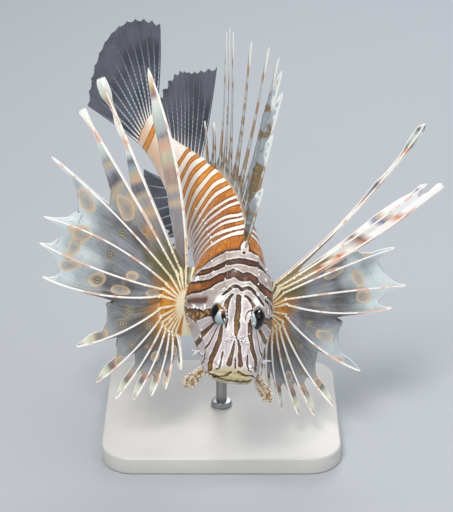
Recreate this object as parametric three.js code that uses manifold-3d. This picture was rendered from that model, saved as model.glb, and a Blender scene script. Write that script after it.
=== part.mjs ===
// Red lionfish, life size, swimming head down over a plain display stand.
// Millimetres, +Z up. The fish looks towards -Y, its left side is at +X, and the stand's underside is at Z = 0.
// The fish is built in its own frame, snout at the origin, tail towards +Y, back towards +Z, and then set on the stand.
import * as THREE from "three";
import Module from "manifold-3d";
import { mergeVertices } from "three/addons/utils/BufferGeometryUtils.js";

const wasm = await Module();
wasm.setup();
const { degToRad, lerp, clamp } = THREE.MathUtils;

// Driving sizes of the whole fish
const STANDARD_LENGTH = 200; // snout to the end of the tail stalk
const GILL_EDGE = 58; // where the gill covers end and the trunk begins
const STALK_START = 152; // where the trunk ends and the tail stalk begins
const GAP = 0.3; // clearance between neighbouring pieces
const ROOT_GAP = 0.4; // clearance between a fin and the body it is cut to

// Pose of the fish over the stand
const NOSE_DOWN = degToRad(16);
const ROLL = degToRad(11);
const SNOUT_PLACE = new THREE.Vector3(6, -88, 80);
const BODY_BEND = degToRad(27); // heading that the tail reaches, towards the fish's right
const BEND_REACH = 0.62; // share of the body behind the head over which it bends
const FIN_KICK = degToRad(7); // the tail fin swings on beyond the bend
const KICK_START = 185;
const KICK_LENGTH = 30;
const TAIL_TWIST = degToRad(14);

// Outline of the body: place along it, back, belly, half width, height of the widest level, roundness of the section
const BODY_OUTLINE = [
  [-2, -1.6, -5.4, 6.0, -3.2, 2.2],
  [0, 1.0, -8.2, 9.4, -3.6, 2.2],
  [4, 4.6, -11.6, 12.2, -4.2, 2.3],
  [10, 9.4, -14.8, 14.2, -5.0, 2.3],
  [18, 15.0, -18.0, 16.0, -5.6, 2.2],
  [28, 20.6, -21.4, 18.4, -5.6, 2.1],
  [40, 26.4, -25.0, 21.0, -4.6, 2.1],
  [52, 31.4, -28.4, 22.6, -3.0, 2.1],
  [60, 33.6, -30.2, 19.8, -2.0, 2.0],
  [78, 35.0, -31.6, 16.2, -1.0, 1.9],
  [100, 32.6, -31.0, 13.8, 0.0, 1.9],
  [130, 25.0, -25.4, 10.6, 0.0, 1.9],
  [155, 16.6, -17.0, 7.2, 0.0, 2.0],
  [178, 11.0, -11.0, 4.8, 0.0, 2.0],
  [192, 10.0, -10.0, 3.4, 0.0, 2.0],
  [204, 11.0, -11.0, 2.0, 0.0, 2.0],
];
const BODY_SIDES = 24;
const BODY_STEP = 6; // distance between body sections
const SNOUT_STEP = 2; // closer sections where the snout rounds off
const SNOUT_LENGTH = 12;
const GILL_FLARE = 0.9; // the gill cover stands this far proud of the trunk

// Eyes, mouth and nostrils
const EYE = { out: 7.5, back: 27, height: 14, radius: 6.5 };
const ORBIT = { out: 6.5, back: 28, height: 13.6, radii: [6.8, 11.5, 8.2] };
const LID = { out: 3, thick: 1.1 };
const MOUTH = { tip: -4.2, corner: 17, slope: degToRad(22), lip: 1.0 };
const NOSTRIL = { out: 5.2, back: 13, radius: 1.3, bore: 0.6, height: 2.4 };

// Leafy tentacles at the corners of the mouth
const TENTACLE = { out: 12.5, back: 9, height: -7, width: 5, thick: 0.9 };
const TENTACLE_REACH = { right: [-11, -2, -11], left: [7, -3, -15] };

// Thickness of fins: half of the sheet's full thickness
const MEMBRANE_HALF = 0.27;
const TIP_HALF = 0.2;

// Dorsal spines, front to back: place on the back, length, lean back, lean to the fish's left
const DORSAL_SPINES = [
  { at: 58, length: 36, lean: 8, side: 3 },
  { at: 65, length: 62, lean: 8, side: 2 },
  { at: 73, length: 80, lean: 8, side: 3 },
  { at: 80, length: 88, lean: 7, side: 2 },
  { at: 87, length: 92, lean: 6, side: 1 },
  { at: 95, length: 92, lean: 7, side: -1 },
  { at: 102, length: 90, lean: 9, side: -5 },
  { at: 109, length: 89, lean: 14, side: -8 },
  { at: 117, length: 87, lean: 15, side: -7 },
  { at: 124, length: 79, lean: 21, side: -3 },
  { at: 131, length: 28, lean: 14, side: -10 },
  { at: 138, length: 26, lean: 16, side: -13 },
];
const SPINE = { half: 1.2, foot: 0.9, flag: 3, web: 0.16, rings: 5 };

// Soft fins on the midline: place of the first and last ray, their lengths and leans, and the rays between them
const SOFT_DORSAL = { from: 146, to: 177, count: 11, lengths: [51, 43, 24], leans: [26, 42, 64], sides: [7, 0] };
const ANAL_FIN = { from: 128, to: 166, count: 9, lengths: [12, 42, 24], leans: [28, 42, 66], sides: [0, 0], spines: 3 };
const TAIL_FIN = { count: 13, up: 60, down: -11, lengths: [52, 64, 54], root: 8.6 };
const SOFT_RINGS = 4;
const MIDLINE_ROOT = 3; // how deep a ray starts inside the body before the fin is cut to it
const SOFT_RAY = { half: 0.55, foot: 0.55 };

// Pectoral fins: the point from which the tips are measured, the fleshy base below it that carries the roots,
// and the plane in which the rays fan out
const PECTORAL_FAN = { out: 20, back: 64, height: -8 };
const PECTORAL_BASE = { reach: 15, thick: 4.2, roots: 0.86, spread: 75 };
const PECTORAL_BASE_PLACE = { right: { out: 22, drop: 7, rise: 20 }, left: { out: 18, drop: 3.5, rise: 16 } };
const PECTORAL_TILT = degToRad(35); // the upper rays lean back
const PECTORAL_SWEEP = degToRad(12); // the outer rays trail back
const PECTORAL_RAY = { half: 0.8, foot: 0.7 };
const PECTORAL_RINGS = 7;

// Rays from the top of the fin round to the bottom: angle of the tip above straight out, length, upward bow,
// free membrane on the upper and on the lower side, paddle at the tip, and the web to the next ray:
// the share of the shorter ray that it reaches and where its notch lies, 0 on this ray and 1 on the next
const RIGHT_PECTORAL_RAYS = [
  { angle: 63, length: 121, bow: 5, above: 0.4, below: 6, paddle: 0, web: 0.12, notch: 0.9 },
  { angle: 51, length: 123, bow: 0, above: 0.4, below: 5, paddle: 2.7, web: 0.28, notch: 0.95 },
  { angle: 43, length: 113, bow: 0.5, above: 0.4, below: 5, paddle: 1.6, web: 0.57, notch: 0.9 },
  { angle: 28, length: 104, bow: 2.5, above: 0.4, below: 1.2, paddle: 0, web: 0.81, notch: 0.65 },
  { angle: 11, length: 89, bow: 4.6, above: 0.3, below: 0.6, paddle: 0, web: 0.89, notch: 0.5 },
  { angle: 2, length: 86, bow: -2.5, above: 0.3, below: 0.6, paddle: 0, web: 0.88, notch: 0.55 },
  { angle: -10, length: 81, bow: -4.7, above: 0.3, below: 0.3, paddle: 0, web: 0.54, notch: 0.1 },
  { angle: -41, length: 69, bow: -3, above: 1.6, below: 0.3, paddle: 0, web: 0.57, notch: 0.1 },
  { angle: -59, length: 71, bow: -2.3, above: 1.8, below: 0.3, paddle: 0, web: 0.5, notch: 0.1 },
  { angle: -70, length: 71, bow: -1.8, above: 1.8, below: 0.3, paddle: 0, web: 0.66, notch: 0.15 },
  { angle: -77, length: 66, bow: -2, above: 1.8, below: 0.3, paddle: 0, web: 0.72, notch: 0.2 },
  { angle: -84, length: 60, bow: -2, above: 1.6, below: 0.3, paddle: 0, web: 0.72, notch: 0.2 },
  { angle: -90, length: 54, bow: -1.5, above: 1.4, below: 0.3, paddle: 0, web: 0.65, notch: 0.2 },
  { angle: -97, length: 42, bow: -1, above: 1, below: 0.3, paddle: 0, web: 0, notch: 0 },
];
const LEFT_PECTORAL_RAYS = [
  { angle: 49, length: 128, bow: -5, above: 1.4, below: 0.3, paddle: 2, web: 0.22, notch: 0.8 },
  { angle: 37, length: 106, bow: -1.5, above: 2.2, below: 0.5, paddle: 0, web: 0.93, notch: 0.5 },
  { angle: 33, length: 117, bow: -3.5, above: 0.5, below: 0.6, paddle: 0, web: 0.7, notch: 0.1 },
  { angle: 23, length: 78, bow: 1, above: 1.2, below: 0.4, paddle: 0, web: 0.84, notch: 0.3 },
  { angle: 7, length: 80, bow: 0.5, above: 0.8, below: 0.8, paddle: 0, web: 0.88, notch: 0.6 },
  { angle: -2, length: 72, bow: -4, above: 0.4, below: 0.3, paddle: 0, web: 0.57, notch: 0.1 },
  { angle: -34, length: 67, bow: -3.5, above: 1.8, below: 0.3, paddle: 0, web: 0.52, notch: 0.1 },
  { angle: -54, length: 71, bow: -3, above: 1.8, below: 0.3, paddle: 0, web: 0.62, notch: 0.12 },
  { angle: -64, length: 69, bow: -2, above: 1.8, below: 0.3, paddle: 0, web: 0.66, notch: 0.15 },
  { angle: -71, length: 65, bow: -2, above: 1.8, below: 0.3, paddle: 0, web: 0.7, notch: 0.2 },
  { angle: -79, length: 59, bow: -2, above: 1.6, below: 0.3, paddle: 0, web: 0.7, notch: 0.2 },
  { angle: -86, length: 48, bow: -1.5, above: 1.4, below: 0.3, paddle: 0, web: 0.68, notch: 0.2 },
  { angle: -92, length: 40, bow: -1, above: 1, below: 0.3, paddle: 0, web: 0.65, notch: 0.2 },
  { angle: -99, length: 33, bow: -1, above: 0.6, below: 0.3, paddle: 0, web: 0, notch: 0 },
];

// Pelvic fins: a spine and five rays that trail below the belly
const PELVIC = { out: 5, back: 62, depth: 27, count: 6, lengths: [32, 52, 38], leans: [8, 48], splay: 24 };

// Stand
const BASE = { width: 130, depth: 112, thick: 10, corner: 18, bevel: 1.2 };
const ROD = { radius: 3, at: [0, 2], sides: 16, top: 84 };

// Colours and finishes
const finish = (color, roughness, metalness = 0) => new THREE.MeshStandardMaterial({ color, roughness, metalness });
const BANDED_SKIN = finish("#a9622a", 0.5);
const PALE_SKIN = finish("#d9cdbf", 0.5);
const FIN_SKIN = finish("#bfc3c0", 0.45);
const DUSKY_FIN = finish("#8d9096", 0.45);
const EYE_GLOSS = finish("#1c1a18", 0.1);
const BASE_PAINT = finish("#c9c7c2", 0.45);
const ROD_STEEL = finish("#b4b6b8", 0.3, 1);

// Smooth value of one column of an outline at a place between its rows
function outlineAt(rows, place, column) {
  const last = rows.length - 1;
  const at = clamp(place, rows[0][0], rows[last][0]);
  let i = 0;
  while (i < last - 1 && rows[i + 1][0] < at) i += 1;
  const slope = (a, b) => (rows[b][column] - rows[a][column]) / (rows[b][0] - rows[a][0]);
  const through = (k) => slope(Math.max(k - 1, 0), Math.min(k + 1, last));
  const span = rows[i + 1][0] - rows[i][0];
  const t = (at - rows[i][0]) / span;
  const start = rows[i][column] * (1 + 2 * t) * (1 - t) ** 2 + through(i) * span * t * (1 - t) ** 2;
  const end = rows[i + 1][column] * t * t * (3 - 2 * t) - through(i + 1) * span * t * t * (1 - t);
  return start + end;
}
const backAt = (s) => outlineAt(BODY_OUTLINE, s, 1);
const bellyAt = (s) => outlineAt(BODY_OUTLINE, s, 2);

// The body's axis bends towards the fish's right behind the gills, and the section twists with it
function heading(s) {
  const along = clamp((s - GILL_EDGE) / (STANDARD_LENGTH - GILL_EDGE), 0, 1);
  const bend = BODY_BEND * Math.sin(Math.min(1, along / BEND_REACH) * Math.PI / 2);
  return bend + FIN_KICK * clamp((s - KICK_START) / KICK_LENGTH, 0, 1);
}
function axisPoint(s) {
  const point = new THREE.Vector3(0, Math.min(s, GILL_EDGE), 0);
  const steps = Math.max(1, Math.ceil((s - GILL_EDGE) / 2));
  const step = Math.max(0, s - GILL_EDGE) / steps;
  for (let k = 0; k < steps; k += 1) {
    const turn = heading(GILL_EDGE + (k + 0.5) * step);
    point.x -= Math.sin(turn) * step;
    point.y += Math.cos(turn) * step;
  }
  return point;
}
function bodyFrame(s) {
  const turn = heading(s);
  const twist = TAIL_TWIST * clamp((s - GILL_EDGE) / (STANDARD_LENGTH - GILL_EDGE), 0, 1) ** 1.5;
  const tail = new THREE.Vector3(-Math.sin(turn), Math.cos(turn), 0);
  const level = new THREE.Vector3(Math.cos(turn), Math.sin(turn), 0);
  const upright = new THREE.Vector3(0, 0, 1);
  const left = level.clone().multiplyScalar(Math.cos(twist)).addScaledVector(upright, -Math.sin(twist));
  const back = upright.multiplyScalar(Math.cos(twist)).addScaledVector(level, Math.sin(twist));
  return { origin: axisPoint(s), tail, left, back };
}
function onBody(s, out, height) {
  const frame = bodyFrame(s);
  return frame.origin.addScaledVector(frame.left, out).addScaledVector(frame.back, height);
}

// Closed solids from vertex and face lists, and back to meshes
function solidFrom(points, faces) {
  const vertProperties = new Float32Array(points.flatMap((p) => [p.x, p.y, p.z]));
  return new wasm.Manifold(new wasm.Mesh({ numProp: 3, vertProperties, triVerts: new Uint32Array(faces.flat()) }));
}
function solidOf(geometry, matrix = new THREE.Matrix4()) {
  const plain = geometry.clone();
  plain.deleteAttribute("normal");
  plain.deleteAttribute("uv");
  const merged = mergeVertices(plain, 1e-4).applyMatrix4(matrix);
  const vertProperties = Float32Array.from(merged.attributes.position.array);
  return new wasm.Manifold(new wasm.Mesh({ numProp: 3, vertProperties, triVerts: Uint32Array.from(merged.index.array) }));
}
function largest(solid) {
  return solid.decompose().reduce((best, piece) => (piece.volume() > best.volume() ? piece : best));
}
function geometryOf(solid) {
  const mesh = solid.getMesh();
  const geometry = new THREE.BufferGeometry();
  geometry.setAttribute("position", new THREE.BufferAttribute(Float32Array.from(mesh.vertProperties), 3));
  geometry.setIndex(new THREE.BufferAttribute(Uint32Array.from(mesh.triVerts), 1));
  geometry.computeVertexNormals();
  return geometry;
}

// A solid through a row of rings that have the same number of points, closed by a fan at each end
function loft(rings) {
  const sides = rings[0].length;
  const points = rings.flat();
  const faces = [];
  for (let r = 0; r < rings.length - 1; r += 1) {
    for (let k = 0; k < sides; k += 1) {
      const next = (k + 1) % sides;
      const [a, b, c, d] = [r * sides + k, r * sides + next, (r + 1) * sides + next, (r + 1) * sides + k];
      faces.push([a, b, c], [a, c, d]);
    }
  }
  for (const [ring, start, flip] of [[rings[0], 0, true], [rings.at(-1), (rings.length - 1) * sides, false]]) {
    const centre = points.length;
    points.push(ring.reduce((sum, p) => sum.add(p), new THREE.Vector3()).divideScalar(sides));
    for (let k = 0; k < sides; k += 1) {
      const edge = [start + k, start + ((k + 1) % sides)];
      faces.push(flip ? [edge[1], edge[0], centre] : [edge[0], edge[1], centre]);
    }
  }
  const solid = solidFrom(points, faces);
  return solid.volume() > 0 ? solid : solidFrom(points, faces.map(([a, b, c]) => [a, c, b]));
}

// A round tube with a radius at each of its points
function tube(path, radii, sides) {
  const curve = new THREE.CatmullRomCurve3(path);
  const steps = path.length - 1;
  const frames = curve.computeFrenetFrames(steps, false);
  const rings = [];
  for (let j = 0; j <= steps; j += 1) {
    const place = (j / steps) * (radii.length - 1);
    const low = Math.min(Math.floor(place), radii.length - 2);
    const radius = lerp(radii[low], radii[low + 1], place - low);
    const centre = curve.getPointAt(j / steps);
    rings.push(Array.from({ length: sides }, (_, k) => {
      const turn = (2 * Math.PI * k) / sides;
      return centre.clone()
        .addScaledVector(frames.normals[j], radius * Math.cos(turn))
        .addScaledVector(frames.binormals[j], radius * Math.sin(turn));
    }));
  }
  return loft(rings);
}

// Body section at a place, grown outwards by a margin
function bodyRing(s, grow) {
  const [half, level, round] = [3, 4, 5].map((column) => outlineAt(BODY_OUTLINE, s, column));
  return Array.from({ length: BODY_SIDES }, (_, k) => {
    const turn = (2 * Math.PI * k) / BODY_SIDES;
    const [c, q] = [Math.cos(turn), Math.sin(turn)];
    const reach = q > 0 ? backAt(s) - level : level - bellyAt(s);
    const out = (half + grow) * Math.sign(c) * Math.abs(c) ** (2 / round);
    return onBody(s, out, level + (reach + grow) * Math.sign(q) * Math.abs(q) ** (2 / round));
  });
}
function bodySolid(from, to, growAt) {
  const places = [];
  for (let s = from; s < Math.min(SNOUT_LENGTH, to); s += SNOUT_STEP) places.push(s);
  const start = Math.max(from, SNOUT_LENGTH);
  const steps = Math.ceil((to - start) / BODY_STEP);
  for (let k = 0; k <= steps; k += 1) places.push(start + ((to - start) * k) / steps);
  return loft(places.map((s) => bodyRing(s, growAt(s))));
}
const SNOUT_TIP = BODY_OUTLINE[0][0];
const gillFlare = (s) => GILL_FLARE * clamp((s - GILL_EDGE + 12) / 10, 0, 1);
const bodyMould = bodySolid(SNOUT_TIP, STANDARD_LENGTH, () => ROOT_GAP)
  .add(bodySolid(GILL_EDGE - 14, GILL_EDGE + GAP, (s) => ROOT_GAP + gillFlare(s)));
const cutToBody = (solid) => largest(solid.subtract(bodyMould));

// A ray of a fin: its line from root to tip, its half thickness and half width, and its free membrane
function ray(root, tip, bow, sizes) {
  const middle = root.clone().lerp(tip, 0.5).addScaledVector(bow, 2);
  return { line: new THREE.QuadraticBezierCurve3(root, middle, tip), above: 0.3, below: 0.3, paddle: 0, ...sizes };
}

// Width of the free membrane beside a ray, `past` counted from the notch of the web to the tip and `t` from
// the root: the scallop of the web runs out into a flag, which pinches in before a paddle
function freeWidth(scallop, flag, paddle, past, t) {
  const fall = paddle > 0 ? 1 - THREE.MathUtils.smoothstep(t, 0.5, 0.7) : Math.sin(Math.PI * clamp(1 - past, 0, 0.5)) ** 1.2;
  const leaf = paddle * Math.exp(-(((t - 0.9) / 0.1) ** 4));
  return Math.max(0.15, scallop * (1 - past) ** 1.5, flag * fall) + leaf;
}

// A fin: one closed sheet whose membrane rises to a crest along each ray. Rings lie closer towards the tips.
// Each web joins two rays up to its reach and ends in a notch. Both faces have the same triangles.
function finSheet(rays, webs, ringCount) {
  const points = [];
  const halves = [];
  const add = (point, half) => halves.push(half) && points.push(point) - 1;
  const at = (j) => 1 - (1 - j / ringCount) ** 1.3;
  const place = (i, t, offset) => {
    const before = rays[Math.max(i - 1, 0)].line.getPoint(t);
    const after = rays[Math.min(i + 1, rays.length - 1)].line.getPoint(t);
    const along = rays[i].line.getTangent(t);
    const across = after.sub(before);
    across.addScaledVector(along, -across.dot(along)).normalize();
    return rays[i].line.getPoint(t).addScaledVector(across, offset);
  };
  const foot = (i, t) => lerp(rays[i].foot, rays[i].foot * 0.55, t);
  const lengths = rays.map((item) => item.line.getLength());
  const reaches = webs.map(({ reach }, i) => [i, i + 1].map((k) => reach * Math.min(lengths[i], lengths[i + 1]) / lengths[k]));
  const joins = reaches.map(([a, b]) => {
    const ring = ringCount * (1 - (1 - (a + b) / 2) ** (1 / 1.3));
    return Math.max(1, Math.round(ring));
  });
  const shared = webs.map((web, i) => Array.from({ length: joins[i] + 1 }, (_, j) => {
    const run = at(j) / at(joins[i]);
    const [a, b] = reaches[i].map((reach) => reach * run);
    const lean = lerp(0.5, web.notch, run ** 2);
    return add(place(i, a, foot(i, a)).lerp(place(i + 1, b, -foot(i + 1, b)), lean), MEMBRANE_HALF);
  }));
  const edge = (i, j, sign) => {
    const web = sign > 0 ? i : i - 1;
    const joined = web >= 0 && web < webs.length;
    if (joined && j <= joins[web]) return shared[web][j];
    const start = joined ? reaches[web][sign > 0 ? 0 : 1] : 0;
    const notch = joined ? points[shared[web][joins[web]]].distanceTo(place(i, start, sign * foot(i, start))) : 0;
    const flag = sign > 0 ? rays[i].below : rays[i].above;
    const past = clamp((at(j) - start) / (1 - start), 0, 1);
    const width = freeWidth(notch, flag, flag > 1 ? rays[i].paddle : 0, past, at(j));
    return add(place(i, at(j), sign * (foot(i, at(j)) + width)), lerp(MEMBRANE_HALF, TIP_HALF, at(j)));
  };
  const strips = rays.map((item, i) => Array.from({ length: ringCount + 1 }, (_, j) => {
    const crest = lerp(item.half, TIP_HALF, at(j) ** 0.7);
    const low = Math.min(MEMBRANE_HALF, crest);
    const beside = foot(i, at(j));
    return [edge(i, j, -1), add(place(i, at(j), -beside), low), add(place(i, at(j), 0), crest + 0.05),
      add(place(i, at(j), beside), low), edge(i, j, 1)];
  }));
  const front = [];
  for (const strip of strips) {
    for (let j = 0; j < ringCount; j += 1) {
      for (let c = 0; c < 4; c += 1) {
        const [a, b, d, e] = [strip[j][c], strip[j + 1][c], strip[j + 1][c + 1], strip[j][c + 1]];
        front.push([a, b, d], [a, d, e]);
      }
    }
  }
  return thicken(points, halves, front);
}

// Gives a sheet its two faces and closes its rim
function thicken(points, halves, front) {
  const normals = points.map(() => new THREE.Vector3());
  for (const [a, b, c] of front) {
    const normal = points[b].clone().sub(points[a]).cross(points[c].clone().sub(points[a]));
    for (const k of [a, b, c]) normals[k].add(normal);
  }
  normals.forEach((normal) => normal.normalize());
  const offset = (sign) => points.map((p, k) => p.clone().addScaledVector(normals[k], sign * halves[k]));
  const count = points.length;
  const faces = front.flatMap(([a, b, c]) => [[a, b, c], [a + count, c + count, b + count]]);
  const edges = new Set(front.flatMap(([a, b, c]) => [`${a} ${b}`, `${b} ${c}`, `${c} ${a}`]));
  for (const edge of edges) {
    const [a, b] = edge.split(" ").map(Number);
    if (!edges.has(`${b} ${a}`)) faces.push([b, a, a + count], [b, a + count, b + count]);
  }
  return solidFrom([...offset(1), ...offset(-1)], faces);
}

// Value between the first, a middle and the last of three sizes
function alongThree([first, middle, last], t) {
  return t < 0.5 ? lerp(first, middle, Math.sin(Math.PI * t)) : lerp(last, middle, Math.sin(Math.PI * t));
}

// Head, split at the mouth
function ellipsoid([rx, ry, rz], centre) {
  const matrix = new THREE.Matrix4().makeTranslation(...centre).scale(new THREE.Vector3(rx, ry, rz));
  return solidOf(new THREE.SphereGeometry(1, 14, 10), matrix);
}
function mouthHeight(s) {
  return MOUTH.tip - Math.tan(MOUTH.slope) * s;
}
function mouthOutline(side, lift) {
  const places = [MOUTH.corner, 12, 8, 5, 2, 0, -1.4];
  return places.map((s) => {
    const [half, level, round] = [3, 4, 5].map((column) => outlineAt(BODY_OUTLINE, s, column));
    const height = mouthHeight(s);
    const depth = clamp((level - height) / (level - bellyAt(s)), 0, 1);
    return onBody(s, side * half * (1 - depth ** round) ** (1 / round), height + lift);
  });
}
function lip(lift, grow = 0) {
  const right = mouthOutline(-1, lift);
  const left = mouthOutline(1, lift).reverse();
  const front = onBody(SNOUT_TIP - 0.4, 0, mouthHeight(SNOUT_TIP) + lift);
  return tube([...right, front, ...left], [0.3, MOUTH.lip, MOUTH.lip, 0.3].map((radius) => radius + grow), 6);
}
function jawRegion(grow) {
  const [width, length, depth] = [80, 40, 30];
  const box = new THREE.BoxGeometry(width, length, depth);
  const place = new THREE.Matrix4().makeTranslation(0, MOUTH.corner, mouthHeight(MOUTH.corner))
    .multiply(new THREE.Matrix4().makeRotationX(-MOUTH.slope))
    .multiply(new THREE.Matrix4().makeTranslation(0, grow - length / 2, grow - depth / 2));
  return solidOf(box, place);
}
function nostril(side) {
  const height = backAt(NOSTRIL.back) - 1.6;
  const place = new THREE.Matrix4().makeTranslation(side * NOSTRIL.out, NOSTRIL.back, height)
    .multiply(new THREE.Matrix4().makeRotationX(Math.PI / 3))
    .multiply(new THREE.Matrix4().makeRotationZ(-side * 0.35));
  const shape = (radius, length) => solidOf(new THREE.CylinderGeometry(radius * 0.8, radius, length, 8), place);
  return shape(NOSTRIL.radius, NOSTRIL.height * 2).subtract(shape(NOSTRIL.bore, NOSTRIL.height * 2.2));
}
function eyePlace(side) {
  return new THREE.Vector3(side * EYE.out, EYE.back, EYE.height);
}
function lid(side) {
  const opening = Math.sqrt((EYE.radius + GAP) ** 2 - LID.out ** 2);
  const ring = new THREE.TorusGeometry(opening, LID.thick, 6, 16);
  const place = new THREE.Matrix4().makeTranslation(side * (EYE.out + LID.out), EYE.back, EYE.height)
    .multiply(new THREE.Matrix4().makeRotationY(Math.PI / 2));
  return solidOf(ring, place);
}
function wholeHead() {
  let head = bodySolid(SNOUT_TIP, GILL_EDGE, gillFlare);
  for (const side of [-1, 1]) {
    head = head.add(ellipsoid(ORBIT.radii, [side * ORBIT.out, ORBIT.back, ORBIT.height]));
    head = head.add(lid(side));
    head = head.add(nostril(side));
  }
  for (const side of [-1, 1]) {
    const socket = new THREE.Matrix4().makeTranslation(...eyePlace(side));
    head = head.subtract(solidOf(new THREE.SphereGeometry(EYE.radius + GAP, 14, 10), socket));
  }
  return head;
}
const headBlock = wholeHead();
const head = largest(headBlock.subtract(jawRegion(0)).add(lip(MOUTH.lip + GAP)));
const jaw = largest(headBlock.intersect(jawRegion(-GAP)).add(lip(-MOUTH.lip).intersect(jawRegion(-GAP))));

function eyeball(side) {
  return solidOf(new THREE.SphereGeometry(EYE.radius, 14, 10), new THREE.Matrix4().makeTranslation(...eyePlace(side)));
}

// A leaf that grows from the corner of the mouth, with a frilled edge
function tentacle(side, reach) {
  const root = new THREE.Vector3(side * TENTACLE.out, TENTACLE.back, TENTACLE.height);
  const along = new THREE.Vector3(...reach);
  const wide = along.clone().cross(new THREE.Vector3(0, -1, 1)).normalize();
  const flat = along.clone().cross(wide).normalize();
  const rings = Array.from({ length: 10 }, (_, j) => {
    const t = j / 9;
    const frill = 1 + 0.16 * Math.cos(j * Math.PI);
    const half = (TENTACLE.width / 2) * (0.35 + 0.65 * Math.sin(Math.PI * Math.min(1, t * 0.85 + 0.1))) * frill;
    const centre = root.clone().addScaledVector(along, t).addScaledVector(flat, Math.sin(t * 3) * 0.8);
    return Array.from({ length: 6 }, (__, k) => {
      const turn = (2 * Math.PI * k) / 6;
      return centre.clone().addScaledVector(wide, half * Math.cos(turn))
        .addScaledVector(flat, (TENTACLE.thick / 2) * Math.sin(turn));
    });
  });
  const lips = lip(MOUTH.lip + GAP, ROOT_GAP).add(lip(-MOUTH.lip, ROOT_GAP));
  return largest(loft(rings).subtract(bodyMould).subtract(lips));
}

// Fins on the midline
function midlineRay(s, height, length, lean, side, curl, sizes) {
  const frame = bodyFrame(s);
  const down = Math.sign(height);
  const root = onBody(s, 0, height - down * MIDLINE_ROOT);
  const upright = frame.back.clone().multiplyScalar(down * Math.cos(degToRad(lean)))
    .addScaledVector(frame.tail, Math.sin(degToRad(lean)));
  const way = upright.multiplyScalar(Math.cos(degToRad(side))).addScaledVector(frame.left, Math.sin(degToRad(side)));
  const tip = root.clone().addScaledVector(way, length + MIDLINE_ROOT);
  return ray(root, tip, frame.tail.clone().multiplyScalar(-curl), sizes);
}
function dorsalSpines() {
  const spines = DORSAL_SPINES.map(({ at, length, lean, side }) => {
    const flag = length > 50 ? SPINE.flag : SPINE.flag * 0.5;
    return midlineRay(at, backAt(at), length, lean, side, 1, { half: SPINE.half, foot: SPINE.foot, below: flag });
  });
  const webs = DORSAL_SPINES.slice(1).map(({ length }, i) => {
    const shorter = length < DORSAL_SPINES[i].length * 0.6;
    return { reach: shorter ? 0.2 : SPINE.web, notch: 0.75 };
  });
  return cutToBody(finSheet(spines, webs, SPINE.rings));
}
function softFin({ from, to, count, lengths, leans, sides, spines = 0 }, heightAt) {
  const rays = Array.from({ length: count }, (_, i) => {
    const t = i / (count - 1);
    const s = lerp(from, to, t);
    const stiff = i < spines;
    const sizes = { half: stiff ? 0.9 : SOFT_RAY.half, foot: stiff ? 0.8 : SOFT_RAY.foot };
    const side = lerp(sides[0], sides[1], t);
    return midlineRay(s, heightAt(s), alongThree(lengths, t), alongThree(leans, t), side, 1.2, sizes);
  });
  const webs = rays.slice(1).map((_, i) => ({ reach: i < spines ? 0.6 : 0.92, notch: 0.5 }));
  return cutToBody(finSheet(rays, webs, SOFT_RINGS));
}
function tailFin() {
  const frame = bodyFrame(STANDARD_LENGTH + KICK_LENGTH);
  const rays = Array.from({ length: TAIL_FIN.count }, (_, i) => {
    const t = i / (TAIL_FIN.count - 1);
    const angle = degToRad(lerp(TAIL_FIN.up, TAIL_FIN.down, t));
    const root = onBody(STANDARD_LENGTH - 4, 0, lerp(TAIL_FIN.root, -TAIL_FIN.root, t));
    const way = frame.tail.clone().multiplyScalar(Math.cos(angle)).addScaledVector(frame.back, Math.sin(angle));
    const tip = root.clone().addScaledVector(way, alongThree(TAIL_FIN.lengths, t) + 4);
    return ray(root, tip, frame.left.clone().multiplyScalar(1.5), { half: 0.7, foot: 0.6 });
  });
  return cutToBody(finSheet(rays, rays.slice(1).map(() => ({ reach: 0.96, notch: 0.5 })), SOFT_RINGS));
}

// Pectoral fins
function pectoralFrame(side) {
  const out = new THREE.Vector3(side * Math.cos(PECTORAL_SWEEP), Math.sin(PECTORAL_SWEEP), 0);
  const up = new THREE.Vector3(0, Math.sin(PECTORAL_TILT), Math.cos(PECTORAL_TILT));
  up.addScaledVector(out, -up.dot(out)).normalize();
  const forward = new THREE.Vector3().crossVectors(out, up).multiplyScalar(side);
  const centre = new THREE.Vector3(side * PECTORAL_FAN.out, PECTORAL_FAN.back, PECTORAL_FAN.height);
  return { centre, out, up, forward };
}
function pectoralFin(side, list, base) {
  const { centre, out, up, forward } = pectoralFrame(side);
  const heart = new THREE.Vector3(side * base.out, centre.y, centre.z - base.drop);
  const rays = list.map(({ angle, length, bow, above, below, paddle }, i) => {
    const turn = degToRad(angle);
    const way = out.clone().multiplyScalar(Math.cos(turn)).addScaledVector(up, Math.sin(turn));
    const square = out.clone().multiplyScalar(-Math.sin(turn)).addScaledVector(up, Math.cos(turn));
    const even = lerp(PECTORAL_BASE.spread, -PECTORAL_BASE.spread, i / (list.length - 1));
    const start = degToRad((angle + even) / 2);
    const root = heart.clone().addScaledVector(out, PECTORAL_BASE.roots * PECTORAL_BASE.reach * Math.cos(start))
      .addScaledVector(up, PECTORAL_BASE.roots * base.rise * Math.sin(start));
    const tip = centre.clone().addScaledVector(way, length);
    return ray(root, tip, square.multiplyScalar(bow), { ...PECTORAL_RAY, above, below, paddle });
  });
  const webs = list.slice(1).map((_, i) => ({ reach: list[i].web, notch: list[i].notch }));
  const lobe = new THREE.Matrix4().makeBasis(
    out.clone().multiplyScalar(PECTORAL_BASE.reach * side),
    up.clone().multiplyScalar(base.rise),
    forward.clone().multiplyScalar(PECTORAL_BASE.thick),
  ).setPosition(heart);
  const flesh = solidOf(new THREE.SphereGeometry(1, 14, 8), lobe);
  return cutToBody(finSheet(rays, webs, PECTORAL_RINGS).add(flesh));
}

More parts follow.
